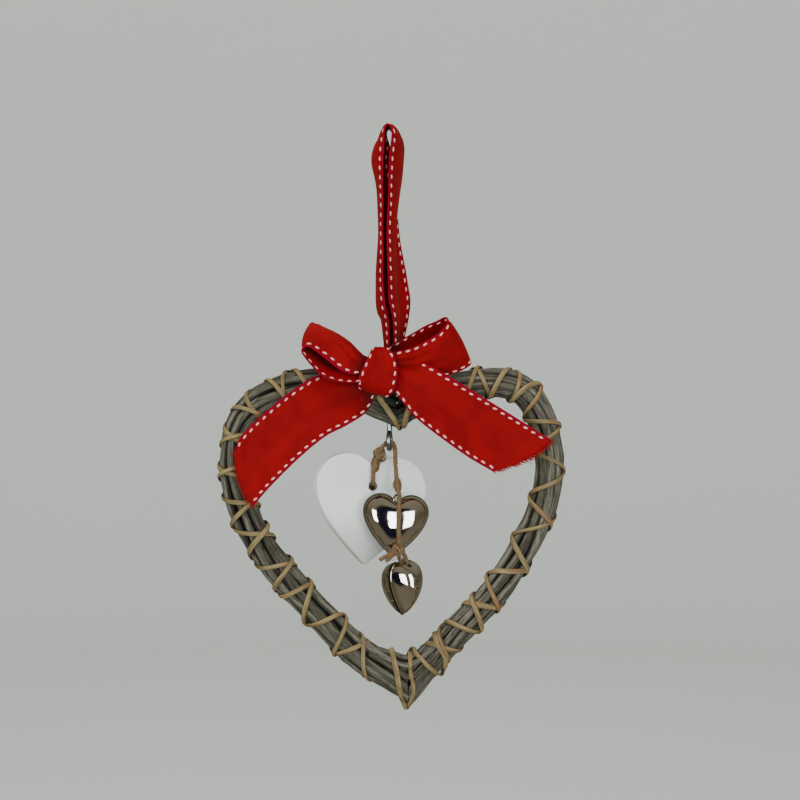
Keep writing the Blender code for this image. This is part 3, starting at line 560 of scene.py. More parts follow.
def knotLine(middle, size, turns, seed):  # twine wound into a tight untidy knot
    t = np.linspace(0.0, 1.0, 26 * turns)
    lean = t * turns * tau
    tilt = 1.9 * lean / turns + 0.5 * np.sin(lean * 0.37 + seed)
    x, z = np.cos(lean), np.sin(lean)
    shell = 0.86 + 0.12 * np.sin(lean * 1.3 + seed)
    raw = np.stack([x * np.cos(tilt), x * np.sin(tilt), z], axis=1) * shell[:, None] * np.asarray(size)
    raw = raw + np.stack([waver(lean, seed + k, 2.4) for k in range(3)], axis=1) * 0.22
    return raw + np.asarray(middle)


def addTwine(name):
    s = twineSettings
    own = s[name]
    seed = own["seed"]
    line = evenLine(smoothLine(own["way"], 16), 0.3)
    laid, tied, fuzz = Bundle(), Bundle(), Bundle()
    addTwineStrands(laid, line, seed, s["diameter"])
    for number, (middle, size, turns) in enumerate(own["knots"]):
        loop = evenLine(knotLine(middle, size, turns, seed + number), 0.35)
        addTwineStrands(tied, loop, seed + 20 + number, s["knotDiameter"])
        addHairs(tied, loop, seed + 40 + number, s["knotHairs"])
    for number, points in enumerate(own["ends"]):
        end = evenLine(smoothLine(points, 10), 0.3)
        addTwineStrands(tied, end, seed + 30 + number, s["endDiameter"])
        addHairs(tied, end, seed + 60 + number, s["endHairs"])
    addHairs(fuzz, line, seed + 80, s["hairs"])
    twine = laid.make(name, jute, "jute_twine", own["node"])
    extras = [tied.make(name + "Knots", jute, "jute_twine"), fuzz.make(name + "Fuzz", jute, "jute_twine")]


addTwine("heartTwine")
addTwine("bellTwine")
print("twines laid")

# The heart's course: shares of its span from its middle, and of its height from its lowest point.
# Each half runs from the dip, over its lobe and down to the tip.
heartSettings = {
    "middle": 1.996,
    "span": 133.44,
    "top": -111.776,
    "height": 127.76,
    "twist": math.radians(75.0),  # how far a rod turns round its bundle on its way
    "swell": 0.055,  # the bundle is pinched where it is bound and bulges between
    "swellLength": 9.0,
    "opening": 1.7,  # how far the upper and lower rods part at the dip
    "openingLength": 24.0,
    "left": {
        "side": 1.0,
        "ring": 4.704,
        "rod": 3.3,
        "fullness": 1.07,  # the bound bundle stands this much fuller than its rods pressed together
        "swellSeed": 3,
        "rodSeed": 0,
        "course": [(0.015, 0.917), (-0.074, 0.956), (-0.157, 0.994), (-0.246, 1.010), (-0.338, 0.994),
                   (-0.430, 0.945), (-0.489, 0.866), (-0.507, 0.756), (-0.493, 0.634), (-0.436, 0.497),
                   (-0.350, 0.370), (-0.236, 0.240), (-0.103, 0.102), (0.050, 0.0)],
    },
    "right": {
        "side": -1.0,
        "ring": 4.05,
        "rod": 2.8,
        "fullness": 1.15,
        "swellSeed": 8,
        "rodSeed": 20,
        "course": [(0.015, 0.917), (0.066, 0.946), (0.143, 0.985), (0.233, 1.008), (0.331, 1.014),
                   (0.411, 0.991), (0.461, 0.930), (0.490, 0.836), (0.500, 0.720), (0.480, 0.598),
                   (0.426, 0.472), (0.338, 0.330), (0.240, 0.218), (0.137, 0.104), (0.050, 0.0)],
    },
}


class Half:  # one lobe's middle line, with the direction out of the heart and the way from the dip
    def __init__(self, name):
        s = heartSettings
        self.name, self.own = name, s[name]
        self.rod, self.ring = [self.own[key] * self.own["fullness"] for key in ("rod", "ring")]
        self.radius = self.ring + self.rod / 2
        points = np.array([(s["middle"] + x * s["span"], 0.0, s["top"] - s["height"] * (1.0 - z))
                           for x, z in self.own["course"]])
        self.dip, self.tip = points[0], points[-1]
        over = 3.0 * self.rod
        first = points[0] + unit(points[0] - points[1]) * over
        last = points[-1] + unit(points[-1] - points[-2]) * over
        self.line = evenLine(np.vstack([first, smoothLine(points, 24), last]), 0.7)
        run = runOf(self.line)
        self.out = np.stack([run[:, 2], 0 * run[:, 0], -run[:, 0]], axis=1) * self.own["side"]
        self.way = wayAlong(self.line) - over
        self.length = self.way[-1] - over

    def swell(self, way):
        s = heartSettings
        return 1.0 + s["swell"] * waver(way, self.own["swellSeed"], s["swellLength"])

    def lift(self, way):
        return heartSettings["opening"] * ease(1.0 - way / heartSettings["openingLength"])

    def at(self, way, angle, radius, lift):  # places round the bundle; angle 0 is outwards, -90 is the front
        out = unit(readAt(way, self.way, self.out))
        away = out * np.cos(angle)[:, None] + back * np.sin(angle)[:, None]
        return readAt(way, self.way, self.line) + away * radius[:, None] + out * lift[:, None], away


left = Half("left")
right = Half("right")

rodSettings = {
    "sides": 18,
    "wander": 0.40,  # how far a rod's angle strays round the bundle
    "stray": 0.085,  # how far it strays in and out, as a share of the ring
    "thickness": 0.14,  # how much its thickness varies
    "ridges": 0.055,  # flats and ridges along it
    "wrinkles": 0.05,
    "budEvery": 34.0,
    "budLength": 1.6,
    "budRise": 0.275,
    "rows": 260,
    "innerRing": 1.3,
    "innerRod": 2.5,
    "innerFrom": 9.0,  # way from the dip
    "innerRows": 200,
}


def cutAtJoint(piece, half, gap):  # mitre both ends where the halves meet
    normal = Vector(half.dip - half.tip).cross(Vector(back)).normalized() * -half.own["side"]
    place = Vector(half.dip) - normal * gap
    bm = bmesh.new()
    bm.from_mesh(piece.data)
    bmesh.ops.bisect_plane(bm, geom=bm.verts[:] + bm.edges[:] + bm.faces[:], plane_co=place * mm,
                           plane_no=normal, clear_outer=True, dist=1e-7)
    bmesh.ops.holes_fill(bm, edges=[edge for edge in bm.edges if edge.is_boundary], sides=0)
    bm.to_mesh(piece.data)
    bm.free()
    piece.data.set_sharp_from_angle(angle=math.radians(50.0))


def rodGrid(half, start, ring, diameter, seed, lifted, ways):
    s = rodSettings
    draw = random.Random(seed)
    angle = start + heartSettings["twist"] * np.maximum(0.0, ways) / half.length
    angle = angle + s["wander"] * waver(ways, seed, 38.0)
    radius = ring * half.swell(ways) * (1.0 + s["stray"] * (waver(ways, seed + 50, 26.0) - 0.5))
    centre, away = half.at(ways, angle, radius, lifted * half.lift(ways))
    thick = diameter / 2 * (1.0 + s["thickness"] * waver(ways, seed + 80, 45.0) + draw.uniform(-0.05, 0.05))
    thick = thick * (1.0 + 0.08 * (ways / half.length - 0.5) * draw.choice((-1, 1)))
    spokes, turn = spokesRound(*frameAlong(centre, away[0]), s["sides"])
    swell = np.zeros((len(ways), s["sides"]))
    at = draw.uniform(5.0, s["budEvery"])
    while at < half.length:  # the buds: a low knuckle with a bump on one side
        facing = draw.uniform(0.0, tau)
        near = np.exp(-((ways - at) / s["budLength"]) ** 2)[:, None]
        swell += near * (0.05 * diameter + s["budRise"] * np.maximum(0.0, np.cos(turn - facing)) ** 3)
        at += s["budEvery"] * draw.uniform(0.6, 1.4)
    spin = 0.9 * waver(ways, seed + 30, 50.0)[:, None]
    ridges = np.cos(2 * (turn - spin)) + 0.6 * np.cos(3 * (turn + spin) + seed)
    around = [(1.5 * math.cos(t), 1.5 * math.sin(t) + seed) for t in turn]
    wrinkles = np.array([[noise.noise(Vector((x, y, w / 7.0))) for x, y in around] for w in ways])
    depth = (thick[:, None] + swell) * (1.0 + s["ridges"] * ridges + s["wrinkles"] * wrinkles)
    flow = flowOf(np.cos(turn) * depth + seed * 11.0, np.sin(turn) * depth, ways[:, None] + seed * 37.0)
    # the last is how far each point faces out of its bundle, for the painted shade between the rods
    return centre[:, None, :] + spokes * depth[..., None], flow, (spokes * away[:, None, :]).sum(axis=2)


def addRods(half):
    s = rodSettings
    ways = np.linspace(half.way[0], half.way[-1], s["rows"])
    for number in range(1, 9):
        start = (number - 0.5) * tau / 8
        lifted = 1.0 if math.cos(start) > 0 else -0.2  # the upper rods part from the lower ones at the dip
        seed = number + half.own["rodSeed"]
        bundle = Bundle()
        bundle.add(*rodGrid(half, start, half.ring, half.rod, seed, lifted, ways))
        rod = bundle.make("%sRod%d" % (half.name, number), willow, "grey_willow",
                          "%s_rod_%d" % (half.name, number))
        cutAtJoint(rod, half, 0.1 + 0.3 * random.Random(seed).random())
    inner = Bundle()
    ways = np.linspace(s["innerFrom"], half.way[-1], s["innerRows"])
    for number in range(3):
        inner.add(*rodGrid(half, number * tau / 3, s["innerRing"], s["innerRod"], 60 + number, 0.0, ways))
    rods = inner.make(half.name + "InnerRods", willow, "grey_willow", half.name + "_inner_rod")
    cutAtJoint(rods, half, 0.4)


addRods(left)
addRods(right)
print("willow rods laid")

# Rods that cross in the fork over the tip and in the dip
forkSettings = {
    "diameter": 2.6,
    "tip": [[(-12, -3.6, -219.5), (-2, -4.6, -226.4), (8, -4.9, -230.2), (16, -4.4, -226), (23, -3.4, -219)],
            [(-11, 0.2, -222), (1, -0.8, -225.4), (8.6, -1.6, -227.4), (15, -1, -223.6), (22, 0.4, -217.2)],
            [(-12, 3.4, -219.6), (-2, 4.2, -226.2), (8, 4.6, -230), (16, 4.2, -225.8), (23, 3.2, -219.2)],
            [(-8, -5.4, -225), (2, -6, -230.8), (9, -6.3, -234.8), (14.6, -6, -231), (20, -5.2, -225.6)],
            [(-2, -2, -229), (6, -2.8, -238), (8.6, -3, -244), (12, -2.6, -236), (18, -1.6, -227)],
            [(-2, 2, -229), (6, 2.8, -238), (8.6, 3, -243.4), (12, 2.6, -236), (18, 1.6, -227)]],
    "dip": [[(-9, -3, -117), (-2, -3.6, -120.4), (4, -3.8, -122.6), (10, -3.4, -119.4), (15, -2.8, -116.6)],
            [(-9, 2.6, -116.4), (-2, 3.2, -120), (4, 3.6, -122.2), (10, 3.2, -119), (15, 2.6, -116.2)],
            [(-10, -1.2, -120), (-2, -1.6, -124.6), (4.2, -1.8, -128), (9.6, -1.6, -125), (15, -1, -121)],
            [(-9, 1.4, -119.6), (-1, 1.6, -124), (4.2, 1.8, -127.4), (9.4, 1.6, -124.2), (14.6, 1, -120.4)],
            [(-9, -3, -118.8), (-2, -3.4, -122.6), (4.2, -3.6, -125.8), (9.6, -3.4, -122.8),
             (15, -2.8, -119.2)],
            [(-8, 0.8, -110.6), (-1, 1, -114.4), (4.2, 1.2, -117.4), (9, 1, -114.4), (14, 0.8, -110.6)],
            [(-8, 2.2, -113.4), (-1, 2.4, -117.4), (4.2, 2.6, -120.2), (9, 2.4, -117.4), (14, 2.2, -113.4)],
            [(-6, 0.6, -107.6), (0, 0.6, -111.4), (4.2, 0.8, -114.2), (8.6, 0.6, -111.4), (12, 0.6, -108)]],
}


def addForkRods(place):
    bundle = Bundle()
    for number, points in enumerate(forkSettings[place]):
        line = evenLine(smoothLine(points, 12), 0.8)
        thick = forkSettings["diameter"] / 2 * (1.0 + 0.10 * waver(wayAlong(line), 90 + number, 12.0))
        bundle.add(*tubeGrid(line, thick, 12, flowSeed=70.0 + number * 9.0))
    bundle.make(place + "ForkRods", willow, "grey_willow")


addForkRods("tip")
addForkRods("dip")

# Cane: the ways at which a strip passes the outer and the inner edge of its half, in turn
caneSettings = {
    "width": 2.1,
    "thickness": 0.75,
    "profile": [(-0.50, -0.30), (-0.49, 0.10), (-0.36, 0.40), (-0.16, 0.55), (0.0, 0.60), (0.16, 0.55),
                (0.36, 0.40), (0.49, 0.10), (0.50, -0.30), (0.25, -0.40), (-0.25, -0.40)],
    "slack": 0.35,
    "jointRise": 0.30,  # how far a strip's middle stands off the rods at the joints
    "jointWidth": 2.268,
    "leftForward": [33, 40, 48, 54, 64, 69, 78, 85, 93, 100, 105, 113, 118, 129, 135, 145, 151, 157, 167,
                    175, 183, 192.5, 199.5],
    "leftBackward": [36, 45, 49, 56, 63, 72, 76, 85, 91, 98, 108, 117, 123, 131, 142, 148, 155, 167, 177,
                     185, 187, 202, 203],
    "rightForward": [22, 30, 36, 43, 52, 55, 60, 67, 76, 84, 94, 105, 112, 126, 134, 146, 153, 164, 168,
                     175, 179, 188],
    "rightBackward": [28, 38, 41, 49, 53, 60, 69, 76, 84, 94, 107, 117, 127, 138, 148, 157, 159, 168, 179,
                      187, 190],
}
laidPoints = []  # middles of the strips that are already on, for the next ones to ride over


def stripGrid(centre, away, width, seed):
    run = runOf(centre)
    across = unit(np.cross(run, away))
    up = np.cross(across, run)
    profile = np.array(caneSettings["profile"])
    way = wayAlong(centre)
    wide = width * (1.0 + 0.22 * waver(way, seed, 30.0))
    grid = (centre[:, None, :] + across[:, None, :] * (profile[:, 0] * wide[:, None])[..., None]
            + up[:, None, :] * (profile[:, 1] * caneSettings["thickness"])[:, None])
    return grid, flowOf(profile[:, 0] * width + seed * 9.0, profile[:, 1], way[:, None] + seed * 31.0)


def rideOver(centre, away):  # lift a strip where it crosses the ones below
    if not laidPoints:
        return centre
    tree = KDTree(len(laidPoints))
    for i, point in enumerate(laidPoints):
        tree.insert(point, i)
    tree.balance()
    near = np.array([tree.find(p)[2] for p in centre])
    width = caneSettings["width"]
    lift = caneSettings["thickness"] * ease((2.0 * width - near) / (1.15 * width))
    return centre + away * lift[:, None]


def addCane(half, key, node, first, hand, seed):
    way, angle = smoothLine([(w, first + hand * math.pi * i) for i, w in enumerate(caneSettings[key])], 24).T
    slack = caneSettings["slack"] * (1.0 + np.maximum(0.0, waver(way, seed, 9.0)))
    radius = half.radius * half.swell(way) + slack
    centre, away = half.at(way, angle, radius, half.lift(way) * np.cos(angle))
    centre = softened(rideOver(centre, away), np.ones(7) / 7)
    bundle = Bundle()
    bundle.add(*stripGrid(centre, away, caneSettings["width"], seed))
    bundle.make(key + "Cane", cane, "split_cane", node)
    laidPoints.extend(tuple(p) for p in centre[::2])


addCane(left, "leftForward", "left_cane_a", 0.0, -1.0, 1)
addCane(left, "leftBackward", "left_cane_b", -math.pi, 1.0, 2)
addCane(right, "rightForward", "right_cane_a", 0.0, -1.0, 3)
addCane(right, "rightBackward", "right_cane_b", -math.pi, 1.0, 4)

# Cane round the joints: points of each strip's way as (x, z, side); side -1 lies on the front of the rods,
# 1 on their back and 0 just off their outline
jointStrips = {
    "tip": [
        [(-1.6, -236, 1), (0.4, -230, 1), (1.2, -226.6, 1), (1.4, -224, 0), (2.4, -227.6, -1),
         (3.7, -232.8, -1), (5, -240.6, -1), (6.6, -246.2, -1), (7.9, -249.2, 0), (8.8, -244, 1),
         (9.4, -236, 1), (9.6, -229, 1), (9.6, -224.9, 0), (9.5, -227.8, -1), (9.6, -232.8, -1),
         (10.9, -240, -1), (9.6, -245.6, -1), (8.4, -249.4, 0), (7, -244, 1), (3, -237, 1)],
        [(8, -229, 1), (9.6, -225.2, 0.4), (10.8, -223.9, -0.1), (12.2, -225.6, -1), (14.9, -228, -1),
         (19, -232.2, -1), (22.8, -234.9, 0), (23.6, -230, 1), (21.6, -222, 1), (20, -217.2, 0),
         (21.4, -221.6, -1), (24, -226, -1), (24.4, -229.4, -1), (23.6, -233.4, 0), (20.4, -229, 1)],
    ],
    "dip": [
        [(-6.4, -106.4, 1), (-6.6, -105.6, 0), (-5.6, -112.4, -1), (-3.7, -116.7, -1), (-1.4, -119.8, -1),
         (0.9, -123.2, -1), (3.2, -127, -1), (5, -130.2, 0), (6.6, -125.6, 1), (8, -117, 1)],
        [(13.4, -108, 1), (12.8, -107, 0), (10.4, -116.4, -1), (9, -121, -1), (7.6, -125.2, -1),
         (6.6, -128.6, 0), (4, -124, 1), (0, -117, 1)],
    ],
}


def rodSurface():  # every rod's skin, for strips to lie on
    points, faces = [], []
    for piece in list(bpy.data.objects):
        if piece.type == "MESH" and piece.data.materials and piece.data.materials[0] == willow:
            first = len(points)
            points += [tuple(v.co / mm) for v in piece.data.vertices]
            faces += [tuple(first + i for i in face.vertices) for face in piece.data.polygons]
    return BVHTree.FromPolygons(points, faces)


def drape(tree, route):  # the strip's middle line, and its directions off the rods
    rows = evenLine(smoothLine(route, 12), 0.4)
    depth = np.zeros(len(rows))
    for i, (x, z, side) in enumerate(rows):
        face = -1.0 if side < 0 else 1.0
        reach = 0.0
        for dx in (-0.9, 0.0, 0.9):
            hit = tree.ray_cast(Vector((x + dx, 40.0 * face, z)), Vector((0.0, -face, 0.0)))[0]
            if hit is not None:
                reach = max(reach, face * hit.y)
        depth[i] = face * (reach + caneSettings["jointRise"]) * math.sqrt(min(1.0, abs(side) / 0.45))
    weights = np.hanning(11)[1:-1] / np.hanning(11)[1:-1].sum()
    depth = softened(depth[:, None], weights)[:, 0]
    centre = np.stack([rows[:, 0], depth, rows[:, 1]], axis=1)
    run = runOf(centre)
    outward = np.stack([0 * depth, depth, 0 * depth], axis=1)
    edge = 1.0 - np.minimum(1.0, np.abs(rows[:, 2]))
    bend = np.gradient(run, axis=0)  # at the outline the strip's bend points inwards
    away = unit(unit(outward) * (1.0 - edge)[:, None] - unit(bend) * edge[:, None])
    away = away - run * (away * run).sum(axis=1, keepdims=True)
    return centre, unit(softened(away, weights))


def addJointStrips(place, seed, node=None):
    bundle, tree = Bundle(), rodSurface()
    for number, route in enumerate(jointStrips[place]):
        centre, away = drape(tree, route)
        centre = rideOver(centre, away)
        bundle.add(*stripGrid(centre, away, caneSettings["jointWidth"], seed + number))
        laidPoints.extend(tuple(p) for p in centre[::2])
    bundle.make(place + "Cane", cane, "split_cane", node)


addJointStrips("tip", 5, "tip_cane")
addJointStrips("dip", 8)
print("cane wound")

# Ribbon: rows are shares of its width; the loop's third number is a share of its drop.
ribbonSettings = {
    "width": 25.0,
    "thickness": 0.5,
    "columns": 26,
    "step": 0.8,
    "ripple": 0.22,
    "stitchPitch": 3.9,
    "stitchLength": 2.25,
    "stitchWidth": 0.84,
    "stitchInset": 1.55,
    "knotInset": 2.0,
    "foot": (4.0, -104.0),
    "top": 0.4,
    "knot": (-4.0, -12.58, -105.78),
    "fray": 260,
    "looseThread": [(0, 0, 0), (-1.6, -0.3, 1.2), (-3.2, -0.2, 1), (-5, 0.2, 1.6)],
    "loopFront": [(-0.14, -0.22, 1), (-0.13, -0.28, 0.943), (-0.11, -0.40, 0.885), (-0.12, -0.60, 0.802),
                  (-0.16, -0.66, 0.75), (-0.18, -0.66, 0.63), (-0.15, -0.66, 0.451), (-0.13, -0.66, 0.284),
                  (-0.10, -0.66, 0.167), (-0.07, -0.66, 0.09), (-0.062, -0.66, 0.052),
                  (-0.006, -0.64, 0.026), (0.058, -0.66, 0.05), (0.038, -0.66, 0.09),
                  (-0.012, -0.66, 0.167), (-0.05, -0.66, 0.331), (-0.09, -0.66, 0.483),
                  (-0.10, -0.66, 0.65), (-0.10, -0.66, 0.731), (-0.05, -0.60, 0.802),
                  (-0.04, -0.40, 0.885), (-0.04, -0.28, 0.943), (-0.02, -0.22, 1)],
    "loopBack": [(-0.02, 0.26, 1), (0.02, 0.25, 0.933), (0.05, 0.24, 0.874), (0.03, 0.22, 0.790),
                 (-0.01, 0.20, 0.737), (0, 0.18, 0.612), (0.03, 0.18, 0.426), (0.03, 0.18, 0.253),
                 (0, 0.16, 0.157), (0.02, 0.20, 0.089), (-0.04, 0.26, 0.034), (0.01, 0.28, 0.008),
                 (0.08, 0.28, 0.034), (0.10, 0.27, 0.089), (0.11, 0.26, 0.157), (0.08, 0.26, 0.303),
                 (0.12, 0.28, 0.444), (0.23, 0.28, 0.633), (0.27, 0.28, 0.716), (0.23, 0.28, 0.790),
                 (0.14, 0.28, 0.874), (0.09, 0.26, 0.933), (0.04, 0.26, 1)],
    "loopBulge": [0.06, 0.14, 0.18, 0.20, 0.23, 0.20, 0.16, 0.18, 0.25, 0.20, 0.08, 0.05,
                  0.10, 0.18, 0.18, 0.12, 0.02, -0.03, -0.04, -0.03, -0.02, 0, 0],
    "loopSway": (1.9, 0.62, 1.0),  # an S across the right leg: its size, its start and its end
    # the strap round the upper rods at the dip: its two sides, its rise, and its way as (y, z)
    "strap": (0.8, 6.2, 1.2,
              [(-4.6, -105), (-6.6, -107.5), (-6.8, -110.5), (-6, -113.6), (-4.2, -115.8), (0, -116.6),
               (4.6, -116), (6.6, -113.5), (7, -110), (6, -107), (4.4, -104.6)]),
}
# Each part of the bow has two edges and a bulge between them. A pleat is its place across at its two ends,
# its ways from and to, and its depth. The painted shade at the ends is how dark it gets there and how far
# that reaches, and endCurve is how far a cut end curves out.
bowParts = {
    "leftLoop": {
        "edgeA": [(-0.16, -0.02, 0.03), (-0.40, -0.09, -0.05), (-0.635, -0.13, 0.02),
                  (-0.868, -0.15, 0.21), (-1.084, -0.16, 0.372), (-1.19, -0.17, 0.42),
                  (-1.26, -0.20, 0.36), (-1.243, -0.24, 0.29), (-1.12, -0.27, 0.131),
                  (-0.93, -0.27, -0.06), (-0.70, -0.24, -0.162), (-0.41, -0.16, -0.18),
                  (-0.16, -0.04, -0.14)],
        "edgeB": [(-0.08, 0.12, 0.20), (-0.25, 0.27, 0.28), (-0.44, 0.47, 0.44), (-0.72, 0.62, 0.64),
                  (-1.00, 0.68, 0.80), (-1.12, 0.70, 0.86), (-1.19, 0.72, 0.83), (-1.15, 0.70, 0.73),
                  (-1.02, 0.62, 0.60), (-0.80, 0.56, 0.42), (-0.56, 0.44, 0.28), (-0.32, 0.30, 0.16),
                  (-0.08, 0.12, 0.08)],
        "bulge": [0.05, 0.16, 0.23, 0.21, 0.14, 0.07, 0.05, 0.03, 0.02, 0.02, 0.02, 0.02, 0.0],
        "pleats": [(0.30, 0.42, 0.0, 0.34, 0.7), (0.62, 0.60, 0.0, 0.26, 0.6), (0.36, 0.30, 0.76, 1.0, 0.6)],
        "paintedShadeAtEnds": ((0.75, 7.0), (0.75, 7.0)),
    },
    "rightLoop": {
        "edgeA": [(0.12, -0.08, 0.31), (0.36, -0.12, 0.35), (0.62, -0.16, 0.43), (0.92, -0.18, 0.59),
                  (1.09, -0.17, 0.74), (1.15, -0.10, 0.88), (1.10, 0, 0.92), (0.98, 0.06, 0.86),
                  (0.79, 0.10, 0.78), (0.45, 0.12, 0.58), (0.12, 0.08, 0.39)],
        "edgeB": [(0.16, 0.08, 0.08), (0.46, 0.16, -0.02), (0.78, 0.14, -0.10), (1.20, 0.12, -0.05),
                  (1.48, 0.13, 0.07), (1.56, 0.22, 0.15), (1.50, 0.34, 0.21), (1.36, 0.42, 0.23),
                  (1.10, 0.42, 0.21), (0.56, 0.34, 0.17), (0.16, 0.20, 0.17)],
        "bulge": [0.05] * 11,
        "pleats": [(0.40, 0.30, 0.0, 0.28, 0.6), (0.66, 0.58, 0.0, 0.34, 0.7), (0.50, 0.42, 0.8, 1.0, 0.5)],
        "paintedShadeAtEnds": ((0.75, 6.0), (0.8, 9.0)),
    },
    "rightTail": {
        "edgeA": [(0.12, 0.06, 0.36), (0.38, 0.05, 0.33), (0.60, 0.02, 0.25), (0.84, -0.06, 0.13),
                  (1.20, -0.08, -0.08), (2.05, 0.02, -0.60), (2.92, 0.10, -1.14)],
        "edgeB": [(0.04, 0.02, -0.13), (0.17, 0, -0.22), (0.34, -0.02, -0.42), (0.60, -0.01, -0.74),
                  (0.94, 0.04, -1.02), (1.48, 0.12, -1.41), (1.92, 0.12, -1.67)],
        "bulge": [0.016] * 7,
        "pleats": [(0.34, 0.24, 0.0, 0.30, 0.7), (0.60, 0.66, 0.0, 0.26, 0.6), (0.50, 0.52, 0.2, 0.8, -0.35)],
        "paintedShadeAtEnds": ((0.75, 7.5),),
        "endCurve": 2.6,
    },
    "leftTail": {
        "edgeA": [(-0.12, 0.06, 0), (-0.44, 0.10, 0), (-0.98, 0.12, -0.04), (-1.34, 0.10, -0.23),
                  (-1.88, 0.10, -0.65), (-2.30, 0.08, -1.06), (-2.41, 0.06, -1.29)],
        "edgeB": [(-0.04, 0.02, -0.29), (-0.18, 0.04, -0.65), (-0.52, 0.07, -0.89), (-0.90, 0.10, -1.09),
                  (-1.36, 0.10, -1.47), (-1.84, 0.09, -1.95), (-2.09, 0.07, -2.24)],
        "bulge": [0.016] * 7,
        "pleats": [(0.36, 0.28, 0.0, 0.34, 0.6), (0.64, 0.70, 0.0, 0.30, 0.6), (0.48, 0.55, 0.3, 0.9, -0.3)],
        "paintedShadeAtEnds": ((0.75, 13.0),),
        "endCurve": 3.0,
    },
}
knotPart = {  # in millimetres; over the top, down the front and under
    "edgeA": [(-6.4, -6, -98.6), (-6.5, -9, -96.6), (-6.7, -12.2, -96), (-7.4, -14.3, -97.6),
              (-8.6, -15.2, -100), (-10.4, -15.5, -103.4), (-11.9, -15.3, -107),
              (-12.9, -14.2, -110.2), (-12.4, -11.2, -112), (-10.6, -7.4, -110.6)],
    "edgeB": [(-1.4, -6, -99), (-0.8, -9, -97), (0.2, -12.2, -96.4), (1.6, -14.3, -97.8),
              (3.2, -15.2, -100.6), (4.1, -15.4, -104.6), (3.9, -15.3, -109), (2.6, -14.4, -113.4),
              (0.4, -11.6, -115.8), (-1.6, -7.4, -114.8)],
    "bulge": [-0.4, -0.6, -0.9, -1.1, -1.2, -1.2, -1.2, -1.3, -1.0, -0.4],
    "pleats": [(0.24, 0.20, 0.10, 0.85, 0.40), (0.72, 0.80, 0.05, 0.60, 0.35), (0.50, 0.56, 0.55, 1.0, 0.35)],
    "paintedShadeAtEnds": ((0.6, 3.0), (0.6, 3.0)),
}


